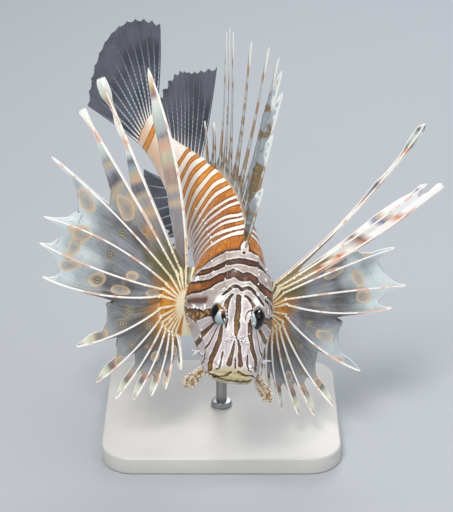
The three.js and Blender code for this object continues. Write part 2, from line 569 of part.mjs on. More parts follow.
// Pelvic fins
function pelvicFin(side) {
  const splay = degToRad(PELVIC.splay);
  const rays = Array.from({ length: PELVIC.count }, (_, i) => {
    const t = i / (PELVIC.count - 1);
    const lean = degToRad(lerp(PELVIC.leans[0], PELVIC.leans[1], t));
    const root = new THREE.Vector3(side * PELVIC.out, PELVIC.back + 6 * t, -PELVIC.depth);
    const back = Math.cos(lean);
    const way = new THREE.Vector3(side * Math.sin(splay), 0.75 * (1.1 - back) + 0.6, -Math.cos(splay) * back).normalize();
    const tip = root.clone().addScaledVector(way, alongThree(PELVIC.lengths, t) + 4);
    const stiff = i === 0;
    return ray(root, tip, new THREE.Vector3(side * 2, -1, 0), { half: stiff ? 0.9 : 0.6, foot: stiff ? 0.8 : 0.6 });
  });
  return cutToBody(finSheet(rays, rays.slice(1).map(() => ({ reach: 0.86, notch: 0.4 })), SOFT_RINGS));
}

// The fish, put together in its own frame
const fish = new THREE.Group();
fish.rotation.set(NOSE_DOWN, ROLL, 0, "XYZ");
fish.position.copy(SNOUT_PLACE);
function place(name, solid, material, parent = fish) {
  const mesh = new THREE.Mesh(geometryOf(solid), material);
  mesh.name = name;
  parent.add(mesh);
}
place("head", head, PALE_SKIN);
place("lower_jaw", jaw, PALE_SKIN);
place("trunk", bodySolid(GILL_EDGE + GAP, STALK_START, () => 0), BANDED_SKIN);
place("tail_stalk", bodySolid(STALK_START + GAP, STANDARD_LENGTH, () => 0), BANDED_SKIN);
for (const [side, name, list] of [[1, "left", LEFT_PECTORAL_RAYS], [-1, "right", RIGHT_PECTORAL_RAYS]]) {
  place(`eye_${name}`, eyeball(side), EYE_GLOSS);
  place(`mouth_tentacle_${name}`, tentacle(side, TENTACLE_REACH[name]), PALE_SKIN);
  place(`pectoral_fin_${name}`, pectoralFin(side, list, PECTORAL_BASE_PLACE[name]), FIN_SKIN);
  place(`pelvic_fin_${name}`, pelvicFin(side), FIN_SKIN);
}
place("dorsal_spines", dorsalSpines(), FIN_SKIN);
place("soft_dorsal_fin", softFin(SOFT_DORSAL, backAt), DUSKY_FIN);
place("anal_fin", softFin(ANAL_FIN, bellyAt), DUSKY_FIN);
place("tail_fin", tailFin(), DUSKY_FIN);

// The stand: a flat base and one rod that ends under the belly
function standBase() {
  const [w, d, c] = [BASE.width / 2 - BASE.bevel, BASE.depth / 2 - BASE.bevel, BASE.corner];
  const outline = new THREE.Shape();
  outline.absarc(w - c, d - c, c, 0, Math.PI / 2);
  outline.absarc(c - w, d - c, c, Math.PI / 2, Math.PI);
  outline.absarc(c - w, c - d, c, Math.PI, 1.5 * Math.PI);
  outline.absarc(w - c, c - d, c, 1.5 * Math.PI, 2 * Math.PI);
  const bevel = { bevelThickness: BASE.bevel, bevelSize: BASE.bevel, bevelSegments: 1 };
  const slab = new THREE.ExtrudeGeometry(outline, { depth: BASE.thick - 2 * BASE.bevel, curveSegments: 4, ...bevel });
  return solidOf(slab, new THREE.Matrix4().makeTranslation(0, 0, BASE.bevel));
}
function standRod() {
  fish.updateMatrixWorld();
  const length = ROD.top - BASE.thick - GAP;
  const rod = new THREE.CylinderGeometry(ROD.radius, ROD.radius, length, ROD.sides).rotateX(Math.PI / 2);
  const upright = solidOf(rod, new THREE.Matrix4().makeTranslation(...ROD.at, BASE.thick + GAP + length / 2));
  const mould = solidOf(geometryOf(bodyMould), fish.matrixWorld);
  return largest(upright.subtract(mould));
}

const redLionfish = new THREE.Group();
redLionfish.add(fish);
place("stand_base", standBase(), BASE_PAINT, redLionfish);
place("stand_rod", standRod(), ROD_STEEL, redLionfish);
export default redLionfish;
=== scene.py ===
import math

import bmesh
import bpy
import numpy as np
from mathutils import Color, Matrix, Vector


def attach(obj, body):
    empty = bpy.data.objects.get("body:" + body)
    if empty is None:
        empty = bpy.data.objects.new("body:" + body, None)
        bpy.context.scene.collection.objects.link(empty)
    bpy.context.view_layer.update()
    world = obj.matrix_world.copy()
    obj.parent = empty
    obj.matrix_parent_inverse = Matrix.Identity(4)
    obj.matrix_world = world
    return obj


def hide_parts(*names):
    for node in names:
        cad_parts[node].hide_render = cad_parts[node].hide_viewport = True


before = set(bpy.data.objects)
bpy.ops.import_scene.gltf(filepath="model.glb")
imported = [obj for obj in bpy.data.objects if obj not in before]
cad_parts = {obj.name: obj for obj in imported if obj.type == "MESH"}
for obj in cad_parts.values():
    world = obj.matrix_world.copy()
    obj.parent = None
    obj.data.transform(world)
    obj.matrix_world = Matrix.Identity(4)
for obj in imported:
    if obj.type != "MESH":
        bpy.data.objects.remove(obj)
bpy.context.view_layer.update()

bl_info = {
    "name": "Red lionfish on a stand",
    "version": (1, 0, 0),
    "blender": (4, 5, 0),
    "location": "3D View > Sidebar > Lionfish",
    "description": "Skin, eyes, fins and stand of a life-size red lionfish",
    "category": "Add Mesh",
}

MM = 0.001

# Place of the fish over the stand: its own frame has the snout at the origin, the tail towards +Y and the
# back towards +Z, in millimetres. Left and right are always the fish's own.
SNOUT_PLACE = np.array([6.0, -88.0, 80.0])
NOSE_DOWN = math.radians(16)
ROLL = math.radians(11)
TURN = np.array((Matrix.Rotation(NOSE_DOWN, 3, "X") @ Matrix.Rotation(ROLL, 3, "Y")))

# Body: lengths, the bend behind the gills and the twist towards the tail
STANDARD_LENGTH = 200
GILL_EDGE = 58
BODY_BEND = math.radians(27)
BEND_REACH = 0.62
FIN_KICK = math.radians(7)
KICK_START = 185
KICK_LENGTH = 30
TAIL_TWIST = math.radians(14)

# Outline of the body: place, back, belly, half width, height of the widest level, roundness of the section
BODY_OUTLINE = np.array([
    [-2, -1.6, -5.4, 6.0, -3.2, 2.2],
    [0, 1.0, -8.2, 9.4, -3.6, 2.2],
    [4, 4.6, -11.6, 12.2, -4.2, 2.3],
    [10, 9.4, -14.8, 14.2, -5.0, 2.3],
    [18, 15.0, -18.0, 16.0, -5.6, 2.2],
    [28, 20.6, -21.4, 18.4, -5.6, 2.1],
    [40, 26.4, -25.0, 21.0, -4.6, 2.1],
    [52, 31.4, -28.4, 22.6, -3.0, 2.1],
    [60, 33.6, -30.2, 20.2, -2.0, 2.0],
    [78, 35.0, -31.6, 16.8, -1.0, 1.9],
    [100, 33.2, -31.0, 14.2, 0.0, 1.9],
    [130, 26.6, -25.4, 11.0, 0.0, 1.9],
    [155, 18.4, -17.0, 7.4, 0.0, 2.0],
    [178, 12.0, -11.0, 4.8, 0.0, 2.0],
    [192, 10.0, -10.0, 3.4, 0.0, 2.0],
    [204, 11.0, -11.0, 2.0, 0.0, 2.0],
])
BACK, BELLY, HALF, LEVEL, ROUND = 1, 2, 3, 4, 5

# How the flanks differ from that outline: place, share wider on the right and on the left; and how far the
# middle of the back half lies to the left
FLANKS = np.array([
    [34, 0, 0], [43, 0, -0.07], [50, 0.02, -0.14], [57, 0.1, -0.14], [63, 0.18, -0.13], [74, 0.17, -0.13],
    [86, 0.08, -0.08], [100, 0, 0],
])
MIDDLE_SHIFT = [(62, 0), (85, 0.2), (110, 1.8), (130, 2.4), (150, 2.0), (185, 0)]


def outline(column, place):
    """Size of the body at places along it: a smooth curve through one column of the outline."""
    x, y = BODY_OUTLINE[:, 0], BODY_OUTLINE[:, column]
    last = len(x) - 1
    place = np.clip(place, x[0], x[last])
    i = np.clip(np.searchsorted(x, place, side="right") - 1, 0, last - 1)
    before = np.maximum(np.arange(last + 1) - 1, 0)
    after = np.minimum(np.arange(last + 1) + 1, last)
    slope = (y[after] - y[before]) / (x[after] - x[before])
    span = x[i + 1] - x[i]
    t = (place - x[i]) / span
    start = y[i] * (1 + 2 * t) * (1 - t) ** 2 + slope[i] * span * t * (1 - t) ** 2
    return start + y[i + 1] * t * t * (3 - 2 * t) - slope[i + 1] * span * t * t * (1 - t)


def heading(place):
    """Direction of the body's axis, turned towards the fish's right."""
    along = np.clip((place - GILL_EDGE) / (STANDARD_LENGTH - GILL_EDGE), 0, 1)
    bend = BODY_BEND * np.sin(np.minimum(1, along / BEND_REACH) * math.pi / 2)
    return bend + FIN_KICK * np.clip((place - KICK_START) / KICK_LENGTH, 0, 1)


AXIS_STEP = 0.5
AXIS_PLACES = np.arange(GILL_EDGE, 240, AXIS_STEP)
AXIS_TURN = heading(AXIS_PLACES + AXIS_STEP / 2)
AXIS_X = np.concatenate([[0], np.cumsum(-np.sin(AXIS_TURN) * AXIS_STEP)[:-1]])
AXIS_Y = GILL_EDGE + np.concatenate([[0], np.cumsum(np.cos(AXIS_TURN) * AXIS_STEP)[:-1]])


def body_frame(place):
    """Axis point, and the directions to the tail, to the fish's left and to its back."""
    place = np.atleast_1d(np.asarray(place, float))
    turn = heading(place)
    along = np.clip((place - GILL_EDGE) / (STANDARD_LENGTH - GILL_EDGE), 0, 1)
    twist = TAIL_TWIST * along ** 1.5
    zero, one = np.zeros_like(place), np.ones_like(place)
    behind = place > GILL_EDGE
    x = np.where(behind, np.interp(place, AXIS_PLACES, AXIS_X), 0)
    x = x + np.interp(place, *np.array(MIDDLE_SHIFT, float).T)
    y = np.where(behind, np.interp(place, AXIS_PLACES, AXIS_Y), place)
    tail = np.stack([-np.sin(turn), np.cos(turn), zero], 1)
    level = np.stack([np.cos(turn), np.sin(turn), zero], 1)
    upright = np.stack([zero, zero, one], 1)
    cos, sin = np.cos(twist)[:, None], np.sin(twist)[:, None]
    return np.stack([x, y, zero], 1), tail, level * cos - upright * sin, upright * cos + level * sin


def on_body(place, out, height):
    """Points given by their place along the body, out to the fish's left and up to its back."""
    origin, _, left, back = body_frame(place)
    return origin + left * np.reshape(out, (-1, 1)) + back * np.reshape(height, (-1, 1))


def to_stand(points):
    """Points of the fish's own frame, as metres over the stand."""
    return (np.asarray(points) @ TURN.T + SNOUT_PLACE) * MM


def unit(vectors):
    """Directions of length 1."""
    return vectors / np.maximum(np.linalg.norm(vectors, axis=-1, keepdims=True), 1e-9)


def ease(value, low, high):
    """0 below low, 1 above high, and a smooth step between them."""
    t = np.clip((value - low) / (high - low), 0, 1)
    return t * t * (3 - 2 * t)


def smooth_line(points, parts=4):
    """A smooth curve through a few points."""
    points = np.asarray(points, float)
    ends = np.vstack([2 * points[0] - points[1], points, 2 * points[-1] - points[-2]])
    curve = [points[0]]
    for a, b, c, d in zip(ends, ends[1:], ends[2:], ends[3:]):
        for t in np.arange(1, parts + 1) / parts:
            curve.append(0.5 * (2 * b + (c - a) * t + (2 * a - 5 * b + 4 * c - d) * t ** 2
                                + (3 * b - a - 3 * c + d) * t ** 3))
    return np.array(curve)


# Meshes

def grid(bm, columns, rows):
    """A flat sheet of faces, its vertices, and where each lies in it, from 0 to 1 across and along."""
    made = bmesh.ops.create_grid(bm, x_segments=columns, y_segments=rows, size=0.5)["verts"]
    flat = np.array([vert.co[:2] for vert in made]) + 0.5
    return made, flat[:, 0], flat[:, 1]


def move_to(verts, points):
    """Puts each vertex at its point."""
    for vert, point in zip(verts, points):
        vert.co = point


SKIN_NUMBERS = ("brown_gap", "smear", "bright", "along", "cream", "belly", "turn")
FIN_NUMBERS = ("half", "ray_place", "reach", "run", "crest", "rim", "ray_number", "side", "dot_x", "dot_y",
               "dot_far",
               "ring_x", "ring_y", "ring_far")
FLESH_NUMBERS = ("turn", "share", "high", "knob")


def fresh(names):
    """An empty mesh with room for the numbers that the materials read."""
    bm = bmesh.new()
    for name in names:
        bm.verts.layers.float.new(name)
    return bm


def note(bm, verts, **values):
    """Keeps numbers on the vertices, by name, for the materials."""
    for name, numbers in values.items():
        layer = bm.verts.layers.float[name]
        for vert, number in zip(verts, np.broadcast_to(numbers, len(verts)).tolist()):
            vert[layer] = number


def piece(name, bm, finish, nodes=(), in_stand=False):
    """The finished mesh as an object on the root body. A piece of the stand is in metres already."""
    bmesh.ops.recalc_face_normals(bm, faces=bm.faces)
    mesh = bpy.data.meshes.new(name)
    bm.to_mesh(mesh)
    bm.free()
    if not in_stand:
        flat = np.empty(len(mesh.vertices) * 3, np.float32)
        mesh.vertices.foreach_get("co", flat)
        mesh.vertices.foreach_set("co", to_stand(flat.reshape(-1, 3)).astype(np.float32).ravel())
        mesh.update()
    mesh.shade_smooth()
    mesh.materials.append(finish)
    thing = bpy.data.objects.new(name, mesh)
    bpy.context.scene.collection.objects.link(thing)
    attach(thing, "root")
    if nodes:
        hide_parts(*nodes)
    if in_stand:
        mark_sharp(mesh)


def mark_sharp(mesh):
    """Keeps edges of more than 40 degrees crisp."""
    bm = bmesh.new()
    bm.from_mesh(mesh)
    for edge in bm.edges:
        edge.smooth = len(edge.link_faces) == 2 and edge.calc_face_angle(0) < math.radians(40)
    bm.to_mesh(mesh)
    bm.free()


def tube(bm, path, radii, sides=10, closed_ends=True):
    """A round tube along a path, with a radius at each of its points."""
    path = np.asarray(path, float)
    rows = len(path) - 1
    along = unit(np.gradient(path, axis=0))
    hint = np.array([0.0, 0.0, 1.0]) if abs(along[0][2]) < 0.9 else np.array([1.0, 0.0, 0.0])
    normal = [unit(np.cross(along[0], hint))]
    for way in along[1:]:
        normal.append(unit(normal[-1] - way * np.dot(normal[-1], way)))
    normal = np.array(normal)
    side = np.cross(along, normal)
    verts, u, v = grid(bm, sides, rows)
    row = np.rint(v * rows).astype(int)
    turn = 2 * math.pi * u
    radius = np.interp(v, np.linspace(0, 1, len(radii)), radii)[:, None]
    cos, sin = np.cos(turn)[:, None], np.sin(turn)[:, None]
    move_to(verts, path[row] + normal[row] * cos * radius + side[row] * sin * radius)
    if closed_ends:
        for end in (0, rows):
            near = [vert for vert, at in zip(verts, row) if at == end]
            bmesh.ops.pointmerge(bm, verts=near, merge_co=Vector(path[end]))
        verts = [vert for vert in verts if vert.is_valid]
    bmesh.ops.remove_doubles(bm, verts=verts, dist=1e-4)
    return [vert for vert in verts if vert.is_valid]


# Materials

def colour(text):
    """A colour written as rrggbb, as the linear values that nodes use."""
    parts = [int(text[k:k + 2], 16) / 255 for k in (0, 2, 4)]
    return tuple(c / 12.92 if c <= 0.04045 else ((c + 0.055) / 1.055) ** 2.4 for c in parts) + (1.0,)


class Wire:
    """A number or colour between the nodes of a material, for short sums and layers."""

    def __init__(self, make, socket):
        self.make, self.socket = make, socket

    def sum(self, operation, *others):
        """This number with others, by the name of a sum; what is left out counts as 0."""
        return self.make.wire("Math", dict(enumerate((self, *others, 0.0, 0.0)[:3])), operation=operation)

    def __add__(self, other):
        return self.sum("ADD", other)

    def __sub__(self, other):
        return self.sum("SUBTRACT", other)

    def __rsub__(self, other):
        return self.make.wire("Math", {0: other, 1: self, 2: 0.0}, operation="SUBTRACT")

    def __mul__(self, other):
        return self.sum("MULTIPLY", other)

    def __abs__(self):
        return self.sum("ABSOLUTE")

    def most(self, *others):
        """The largest of this number and others."""
        largest = self
        for other in others:
            largest = largest.sum("MAXIMUM", other)
        return largest

    def scaled(self, factor, shift):
        """Times a factor, plus a shift."""
        return self.sum("MULTIPLY_ADD", factor, shift)

    def step(self, low, high):
        """0 at low, 1 at high, smooth between; low may be above high."""
        inputs = {"Value": self, "From Min": low, "From Max": high}
        return self.make.wire("MapRange", inputs, interpolation_type="SMOOTHSTEP")

    def pick(self, first, second):
        """Two colours mixed by this share."""
        return self.make.wire("Mix", {0: self, 6: first, 7: second}, 2, data_type="RGBA", clamp_factor=True)

    def blend(self, first, second):
        """Two numbers mixed by this share."""
        return self.make.wire("Mix", {0: self, 2: first, 3: second}, data_type="FLOAT")

    def ramp(self, stops):
        """A row of colours along this number."""
        made = self.make.wire("ValToRGB", {"Fac": self}, "Color")
        elements = made.socket.node.color_ramp.elements
        elements[0].position, elements[0].color = stops[0][0], colour(stops[0][1])
        elements[1].position, elements[1].color = stops[-1][0], colour(stops[-1][1])
        for position, text in stops[1:-1]:
            elements.new(position).color = colour(text)
        return made


class Finish:
    """A material under construction, with short calls for its nodes. Inputs are wires, numbers or colours."""

    def __init__(self, name, **fixed):
        self.material = bpy.data.materials.new(name)
        self.material.use_nodes = True
        self.tree = self.material.node_tree
        self.shader = self.tree.nodes["Principled BSDF"]
        self.done(**fixed)

    def done(self, **sockets):
        """Sets inputs of the shader and returns the material."""
        for name, value in sockets.items():
            self.set(self.shader.inputs[name.replace("_", " ")], value)
        return self.material

    def set(self, socket, value):
        """Links a wire to a socket, or gives it a number or colour."""
        if isinstance(value, Wire):
            self.tree.links.new(value.socket, socket)
        elif isinstance(value, str):
            socket.default_value = colour(value)
        elif isinstance(value, Color):
            socket.default_value = (*value, 1.0)
        else:
            socket.default_value = value

    def wire(self, kind, inputs, output=0, **settings):
        """One output of a new node with these inputs and settings."""
        node = self.tree.nodes.new("ShaderNode" + kind)
        for key, value in settings.items():
            setattr(node, key, value)
        for key, value in inputs.items():
            self.set(node.inputs[key], value)
        return Wire(self, node.outputs[output])

    def attribute(self, name):
        """A number kept on the mesh."""
        return self.wire("Attribute", {}, "Fac", attribute_name=name)

    def place(self, scale=1000):
        """Place on the object, in millimetres unless the scale differs."""
        where = self.wire("TexCoord", {}, "Object")
        return self.wire("VectorMath", {0: where, 1: (scale, scale, scale)}, operation="MULTIPLY")

    def stretched(self, where, x, y, z):
        """A place with its three numbers scaled."""
        return self.wire("Mapping", {"Vector": where, "Scale": (x, y, z)})

    def noise(self, where, scale, detail, rough=0.5):
        """Soft random values about 0.5."""
        return self.wire("TexNoise", {"Vector": where, "Scale": scale, "Detail": detail, "Roughness": rough})

    def streaks(self, x, y, detail):
        """Soft random values over two numbers of their own."""
        return self.noise(self.wire("CombineXYZ", {0: x, 1: y, 2: 0.0}), 1.0, detail)

    def cells(self, where, scale, random):
        """The distance to the middle of the nearest cell of a pattern."""
        return self.wire("TexVoronoi", {"Vector": where, "Scale": scale, "Randomness": random}, "Distance")

    def bump(self, height, strength, distance):
        """Small relief in the normal."""
        return self.wire("Bump", {"Height": height, "Strength": strength, "Distance": distance})

    def layers(self, skin, *layers):
        """A colour with others laid over it: pairs of the share that a layer covers and its colour."""
        for share, shade in layers:
            skin = share.pick(skin, shade)
        return skin


# Skin of the head, body and tail stalk

SKIN_SIDES = 280
CAP_RINGS = 9
SNOUT_CAP = 1.1
TAIL_CAP = 2.5
CROWD = 28  # how much closer together the sides lie on the back than under the belly, in degrees

EYE_OUT, EYE_PLACE, EYE_HEIGHT, EYE_RADIUS = 7.5, 27.0, 14.0, 6.5
ORBIT = {"centre": (6.5, 28.8, 13.6), "radii": (7.0, 9.4, 8.0)}
LID_ANGLE = 64  # from the middle of each eye's opening to its edge
OPENING = math.radians(LID_ANGLE)
LID_RADIUS = EYE_RADIUS + 0.1
LID_TURN = {"right": (36, 8), "left": (30, 26)}  # how far each eye's opening looks forwards and up
GAZE = {"right": (16, 22), "left": (42, 52)}
SIDES = {"right": -1, "left": 1}

MOUTH_TIP, MOUTH_CORNER, MOUTH_SLOPE = -4.2, 17, math.tan(math.radians(22))

# Ridges (+) and grooves (-) of the head: height, half width, and their line as places along the body and
# angles from the back; each is on both sides
HEAD_RELIEF = [
    (0.9, 1.5, [(11, 66), (17, 68), (24, 72), (32, 75), (41, 78), (50, 84)]),
    (0.7, 1.2, [(38, 22), (44, 20), (50, 20), (56, 22)]),
    (0.6, 1.1, [(6, 20), (11, 22), (17, 24), (23, 25)]),
    (-0.7, 0.7, [(43, 92), (46, 104), (44, 118), (36, 130), (24, 138)]),
    (-0.5, 0.6, [(2, 44), (5, 64), (9, 80), (15, 94), (19, 101)]),
    (-0.5, 0.5, [(-1, 6), (-1, 36), (0, 62), (2, 84)]),
    (0.5, 1.6, [(14, 84), (24, 92), (34, 100)]),
    (-0.6, 1.2, [(34, 12), (36, 22), (34, 34)]),
]

# Brown stripes of the head: half widths at the start and end, and their line as places along the body and
# angles from the back. Angles above 0 are on the right.
HEAD_STRIPES = [
    (1.4, 1.9, [(57, 68), (52, 56), (50, 48), (49, 40), (49, 25), (50, 10), (50, -8)]),
    (1.9, 1.5, [(50, -8), (51, -22), (52, -32), (53, -46), (56, -62)]),
    (3.2, 2.4, [(55, 88), (52, 77), (48, 67), (45, 57), (43, 46), (43, 32), (43, 20), (44, 12)]),
    (2.4, 2.4, [(44, 12), (43, 6), (42, 0), (43, -10), (42, -18), (41, -24)]),
    (2.4, 2.8, [(41, -24), (41, -32), (42, -44), (46, -61), (50, -76), (55, -92)]),
    (0.9, 1.1, [(34, 26), (35, 20), (37, 12), (37, 5), (36, 0)]),
    (1.1, 0.9, [(36, 0), (37, -7), (37, -14), (36, -20), (35, -28), (34, -39)]),
    (1.5, 1.5, [(32, 3), (29, 3), (25, 2), (21, 3), (18, 2)]), (1.5, 0.4, [(18, 2), (15, 2), (13, 1)]),
    (0.3, 0.8, [(12, 3), (10, 4), (8.6, 4)]), (0.8, 1.5, [(8.6, 4), (6, 6), (4, 8), (2.6, 10)]),
    (0.4, 0.7, [(13, 1), (11.5, -2), (9.5, -5)]), (0.8, 1.4, [(9.5, -5), (6.5, -7), (4, -11), (2.6, -14)]),
    (0.8, 1.2, [(33, 13), (31, 17), (28, 19), (25, 20)]),
    (1.2, 1.9, [(25, 20), (22, 21), (19, 23), (15, 26), (12, 34), (8, 46), (6, 59), (3, 78)]),
    (0.8, 1.1, [(33, -6), (32, -12), (30, -16), (27, -18.5)]),
    (1.1, 1.7, [(27, -18.5), (24, -18), (20, -19), (16, -21.5), (13, -27), (10, -36), (8, -50), (5, -70)]),
    (2.1, 2.1, [(24, 44), (21, 52), (21, 66), (22, 80), (24, 96)]),
    (1.9, 2.1, [(22, -36), (21, -49), (22, -69), (24, -94)]),
    (0.6, 0.9, [(20, 38), (16, 44), (14, 56), (12, 70), (10, 88), (10, 104)]),
    (0.6, 0.9, [(18, -40), (15, -50), (13, -62), (11, -76), (9, -92)]),
    (0.6, 0.5, [(7, 25), (5, 28), (3, 32), (1, 42), (1, 52)]),
    (0.6, 0.5, [(7, -24), (4, -30), (2, -42), (2, -56)]),
    (0.45, 0.45, [(5, 0), (1, -3)]),
    (0.6, 0.45, [(-0.5, 6), (-1.5, 24), (-1.5, 62), (0, 85), (2, 103)]),
    (0.6, 0.45, [(0, -14), (-0.5, -44), (1, -70), (3, -94)]),
    (1.9, 2.0, [(28, 45), (30, 56), (32, 66)]), (2.2, 3.6, [(32, 66), (35, 76)]),
    (3.6, 2.0, [(35, 76), (41, 86), (50, 100)]),
    (1.9, 2.0, [(28, -44), (30, -56), (32, -64)]), (2.2, 3.4, [(32, -64), (36, -74)]),
    (3.4, 2.0, [(36, -74), (42, -86), (50, -98)]),
    (0.9, 1.1, [(37, -42), (39, -54)]), (1.1, 0.9, [(41, -62), (45, -76)]),
    (0.45, 0.25, [(26.1, -17), (26, -14.5), (25, -11), (23.5, -9.3), (21, -9.2)]),
]
# Soft dark smear on the right cheek
SMEARS = [(1.0, 1.4, [(47, 83), (43, 73), (39, 63), (36.5, 54)])]
# White teeth along the nape's front band; a gap between two lies at the first angle
TEETH = {"place": 46, "first": 13, "pitch": 18, "depth": 0.9}
THROAT_STRIPES = [
    (0.7, 0.8, [(5, 112), (8, 128), (9, 150)]),
    (0.8, 0.9, [(14, 116), (18, 138), (19, 168)]),
    (0.9, 1.0, [(26, 112), (30, 130), (31, 164)]),
    (0.9, 1.2, [(37, 112), (42, 134), (44, 168)]),
    (1.0, 1.4, [(48, 108), (53, 130), (56, 164)]),
]

# White lines of the trunk: half width on the back and on the side, and their places at those angles from
# the back
LINE_ANGLES = [0, 30, 60, 90, 120, 180]
WHITE_LINES = [
    (1.9, 1.2, [55, 53, 54, 61, 70, 78]),
    (1.4, 1.0, [68, 68, 71, 76, 82, 88]), (1.4, 1.0, [72, 73, 80, 88, 96, 100]),
    (1.1, 1.1, [78, 80, 86, 95, 104, 110]), (1.2, 1.1, [82, 84, 93, 101, 109, 115]),
    (1.3, 1.0, [92, 93, 99, 106, 111, 117]), (1.3, 1.0, [97, 99, 104, 109, 114, 120]),
    (1.6, 1.3, [109, 110, 111, 113, 117, 123]), (1.8, 1.5, [117, 118, 118, 118, 120, 126]),
    (2.0, 1.7, [128, 127, 127, 126, 125, 130]), (2.1, 1.8, [137, 136, 136, 134, 132, 136]),
    (2.2, 1.9, [145, 145, 144, 142, 140, 144]), (2.2, 2.0, [154, 153, 152, 149, 147, 151]),
    (21.0, 22.0, [181, 180, 179, 178, 177, 178]),
]
TAIL_BAND = (191, 3.0)  # place and half width of the last brown band
NAPE_GAP = (58, 0.55, 2.1)  # pale gap in the nape's band: place, stretch along the body, half width
NAPE_DOT = (54.8, 1, 0.8)  # brown dot in front of it: place, angle, half width
FAR = 9.0  # millimetres from a line at which it is no longer measured
HEAD_END = 64
# Painted highlights: pale patches where the light falls on the head, as place, angle from the back and size
HEAD_HIGHLIGHT_PATCHES = [
    (40, 77, 2.4), (54, 72, 2.6), (32, 31, 4), (32, -27, 4), (3, 33, 2), (3, -40, 2), (46, -60, 4),
    (50, 62, 3), (37.5, 72, 1.8), (35, 64, 1.5), (34, 57, 1.6), (35, -54, 2), (38, -65, 2)]
SKIN_PLACES = np.concatenate([
    np.arange(-2, 4, 0.25), np.arange(4, 44, 0.36), np.arange(44, 61, 0.5), np.arange(61, 160, 0.95),
    np.arange(160, STANDARD_LENGTH + 0.1, 1.25)])


def plain_surface(place, angle, shrink):
    """The body without its details, at places along it and angles from the back."""
    turn = np.radians(angle + 90)
    cos, sin = np.cos(turn), np.sin(turn)
    level, power = outline(LEVEL, place), 2 / outline(ROUND, place)
    reach = np.where(sin > 0, outline(BACK, place) - level, level - outline(BELLY, place))
    at, right, left = FLANKS.T
    swell = np.where(cos < 0, np.interp(place, at, right), np.interp(place, at, left))
    out = outline(HALF, place) * (1 + swell) * np.sign(cos) * np.abs(cos) ** power
    height = level + reach * np.sign(sin) * np.abs(sin) ** power
    middle = (outline(BACK, place) + outline(BELLY, place)) / 2
    return on_body(place, out * shrink, middle + (height - middle) * shrink)


def line_gap(lines, place, angle, along, around):
    """Distance over the skin, in millimetres, from the edge of the nearest line; negative inside it."""
    best = np.full(len(place), FAR)
    for first, last, points in lines:
        curve = smooth_line(points)
        low, high = curve.min(0), curve.max(0)
        near = (place > low[0] - 6) & (place < high[0] + 6) & (angle > low[1] - 30) & (angle < high[1] + 30)
        p, q, m, n = place[near], angle[near], along[near], around[near]
        gap = np.full(len(p), FAR)
        for k, ((s0, a0), (s1, a1)) in enumerate(zip(curve, curve[1:])):
            x, y = (p - s0) * m, (q - a0) * n
            dx, dy = (s1 - s0) * m, (a1 - a0) * n
            t = np.clip((x * dx + y * dy) / (dx * dx + dy * dy + 1e-9), 0, 1)
            half = first + (last - first) * (k + t) / (len(curve) - 1)
            gap = np.minimum(gap, np.hypot(x - t * dx, y - t * dy) - half)
        best[near] = np.minimum(best[near], gap)
    return best


def mirrored(lines):
    """The same lines on the other side too."""
    return lines + [(first, last, [(s, -a) for s, a in points]) for first, last, points in lines]


def eye_centre(side):
    """Middle of an eyeball."""
    return np.array([SIDES[side] * EYE_OUT, EYE_PLACE, EYE_HEIGHT])


def look(side, turn, lift):
    """Direction that is turned forwards from straight out and lifted, in degrees."""
    turn, lift = math.radians(turn), math.radians(lift)
    level = math.cos(lift)
    return np.array([SIDES[side] * math.cos(turn) * level, -math.sin(turn) * level, math.sin(lift)])


def orbit_rise(points, normals):
    """How far the rim round each eye stands over the plain head."""
    rise = np.zeros(len(points))
    for side in SIDES.values():
        centre = np.array(ORBIT["centre"]) * (side, 1, 1)
        radii = np.array(ORBIT["radii"])
        way, start = normals / radii, (points - centre) / radii
        a, b, c = (way * way).sum(1), (way * start).sum(1), (start * start).sum(1) - 1
        inside = b * b - a * c
        reach = np.where(inside > 0, (-b + np.sqrt(np.maximum(inside, 0))) / a, -9)
        rise += 0.5 * (reach + np.sqrt(reach * reach + 0.4))
    return rise


def tooth(angle):
    """How far a tooth of the nape's band stands out at angles from the back, from 0 to 1."""
    wave = np.sin(math.pi * (angle - TEETH["first"]) / TEETH["pitch"])
    return np.abs(wave) * ease(-np.abs(angle), -66, -50)


def head_relief(place, angle, along, around, points):
    """Ridges, grooves, lips and the line of the mouth."""
    height = np.zeros(len(place))
    for rise, half, line in HEAD_RELIEF:
        gap = line_gap(mirrored([(0.01, 0.01, line)]), place, angle, along, around)
        height += rise * np.exp(-(np.maximum(gap, 0) / half) ** 2)
    between = np.exp(-(points[:, 0] / 2.6) ** 2) * ease(place, 14, 24) * ease(-place, -46, -38)
    height -= 1.1 * between
    mouth = points[:, 2] - (MOUTH_TIP - MOUTH_SLOPE * place) + 0.25 * np.sin(points[:, 0] * 1.9)
    closed = ease(-place, -MOUTH_CORNER, -MOUTH_CORNER + 4)
    height -= 1.0 * np.exp(-(mouth / 0.42) ** 2) * closed
    lips = 0.75 * np.exp(-((mouth - 1.5) / 1.0) ** 2) + 0.75 * np.exp(-((mouth + 1.4) / 0.9) ** 2)
    height += lips * closed
    gill_edge = GILL_EDGE - 8 * ((np.abs(angle) - 86) / 50) ** 2
    flared = ease(place, 40, 50) * ease(gill_edge - place, -0.5, 0.6)
    height += 1.1 * flared * ease(np.abs(angle), 30, 55) * ease(-np.abs(angle), -150, -128)
    height += 0.6 * tooth(angle) * np.exp(-((place - TEETH["place"]) / 1.1) ** 2)
    height += 0.7 * np.exp(-(angle * around / 1.6) ** 2) * ease(place, 52, 60) * ease(-place, -180, -150)
    return height, mouth, closed


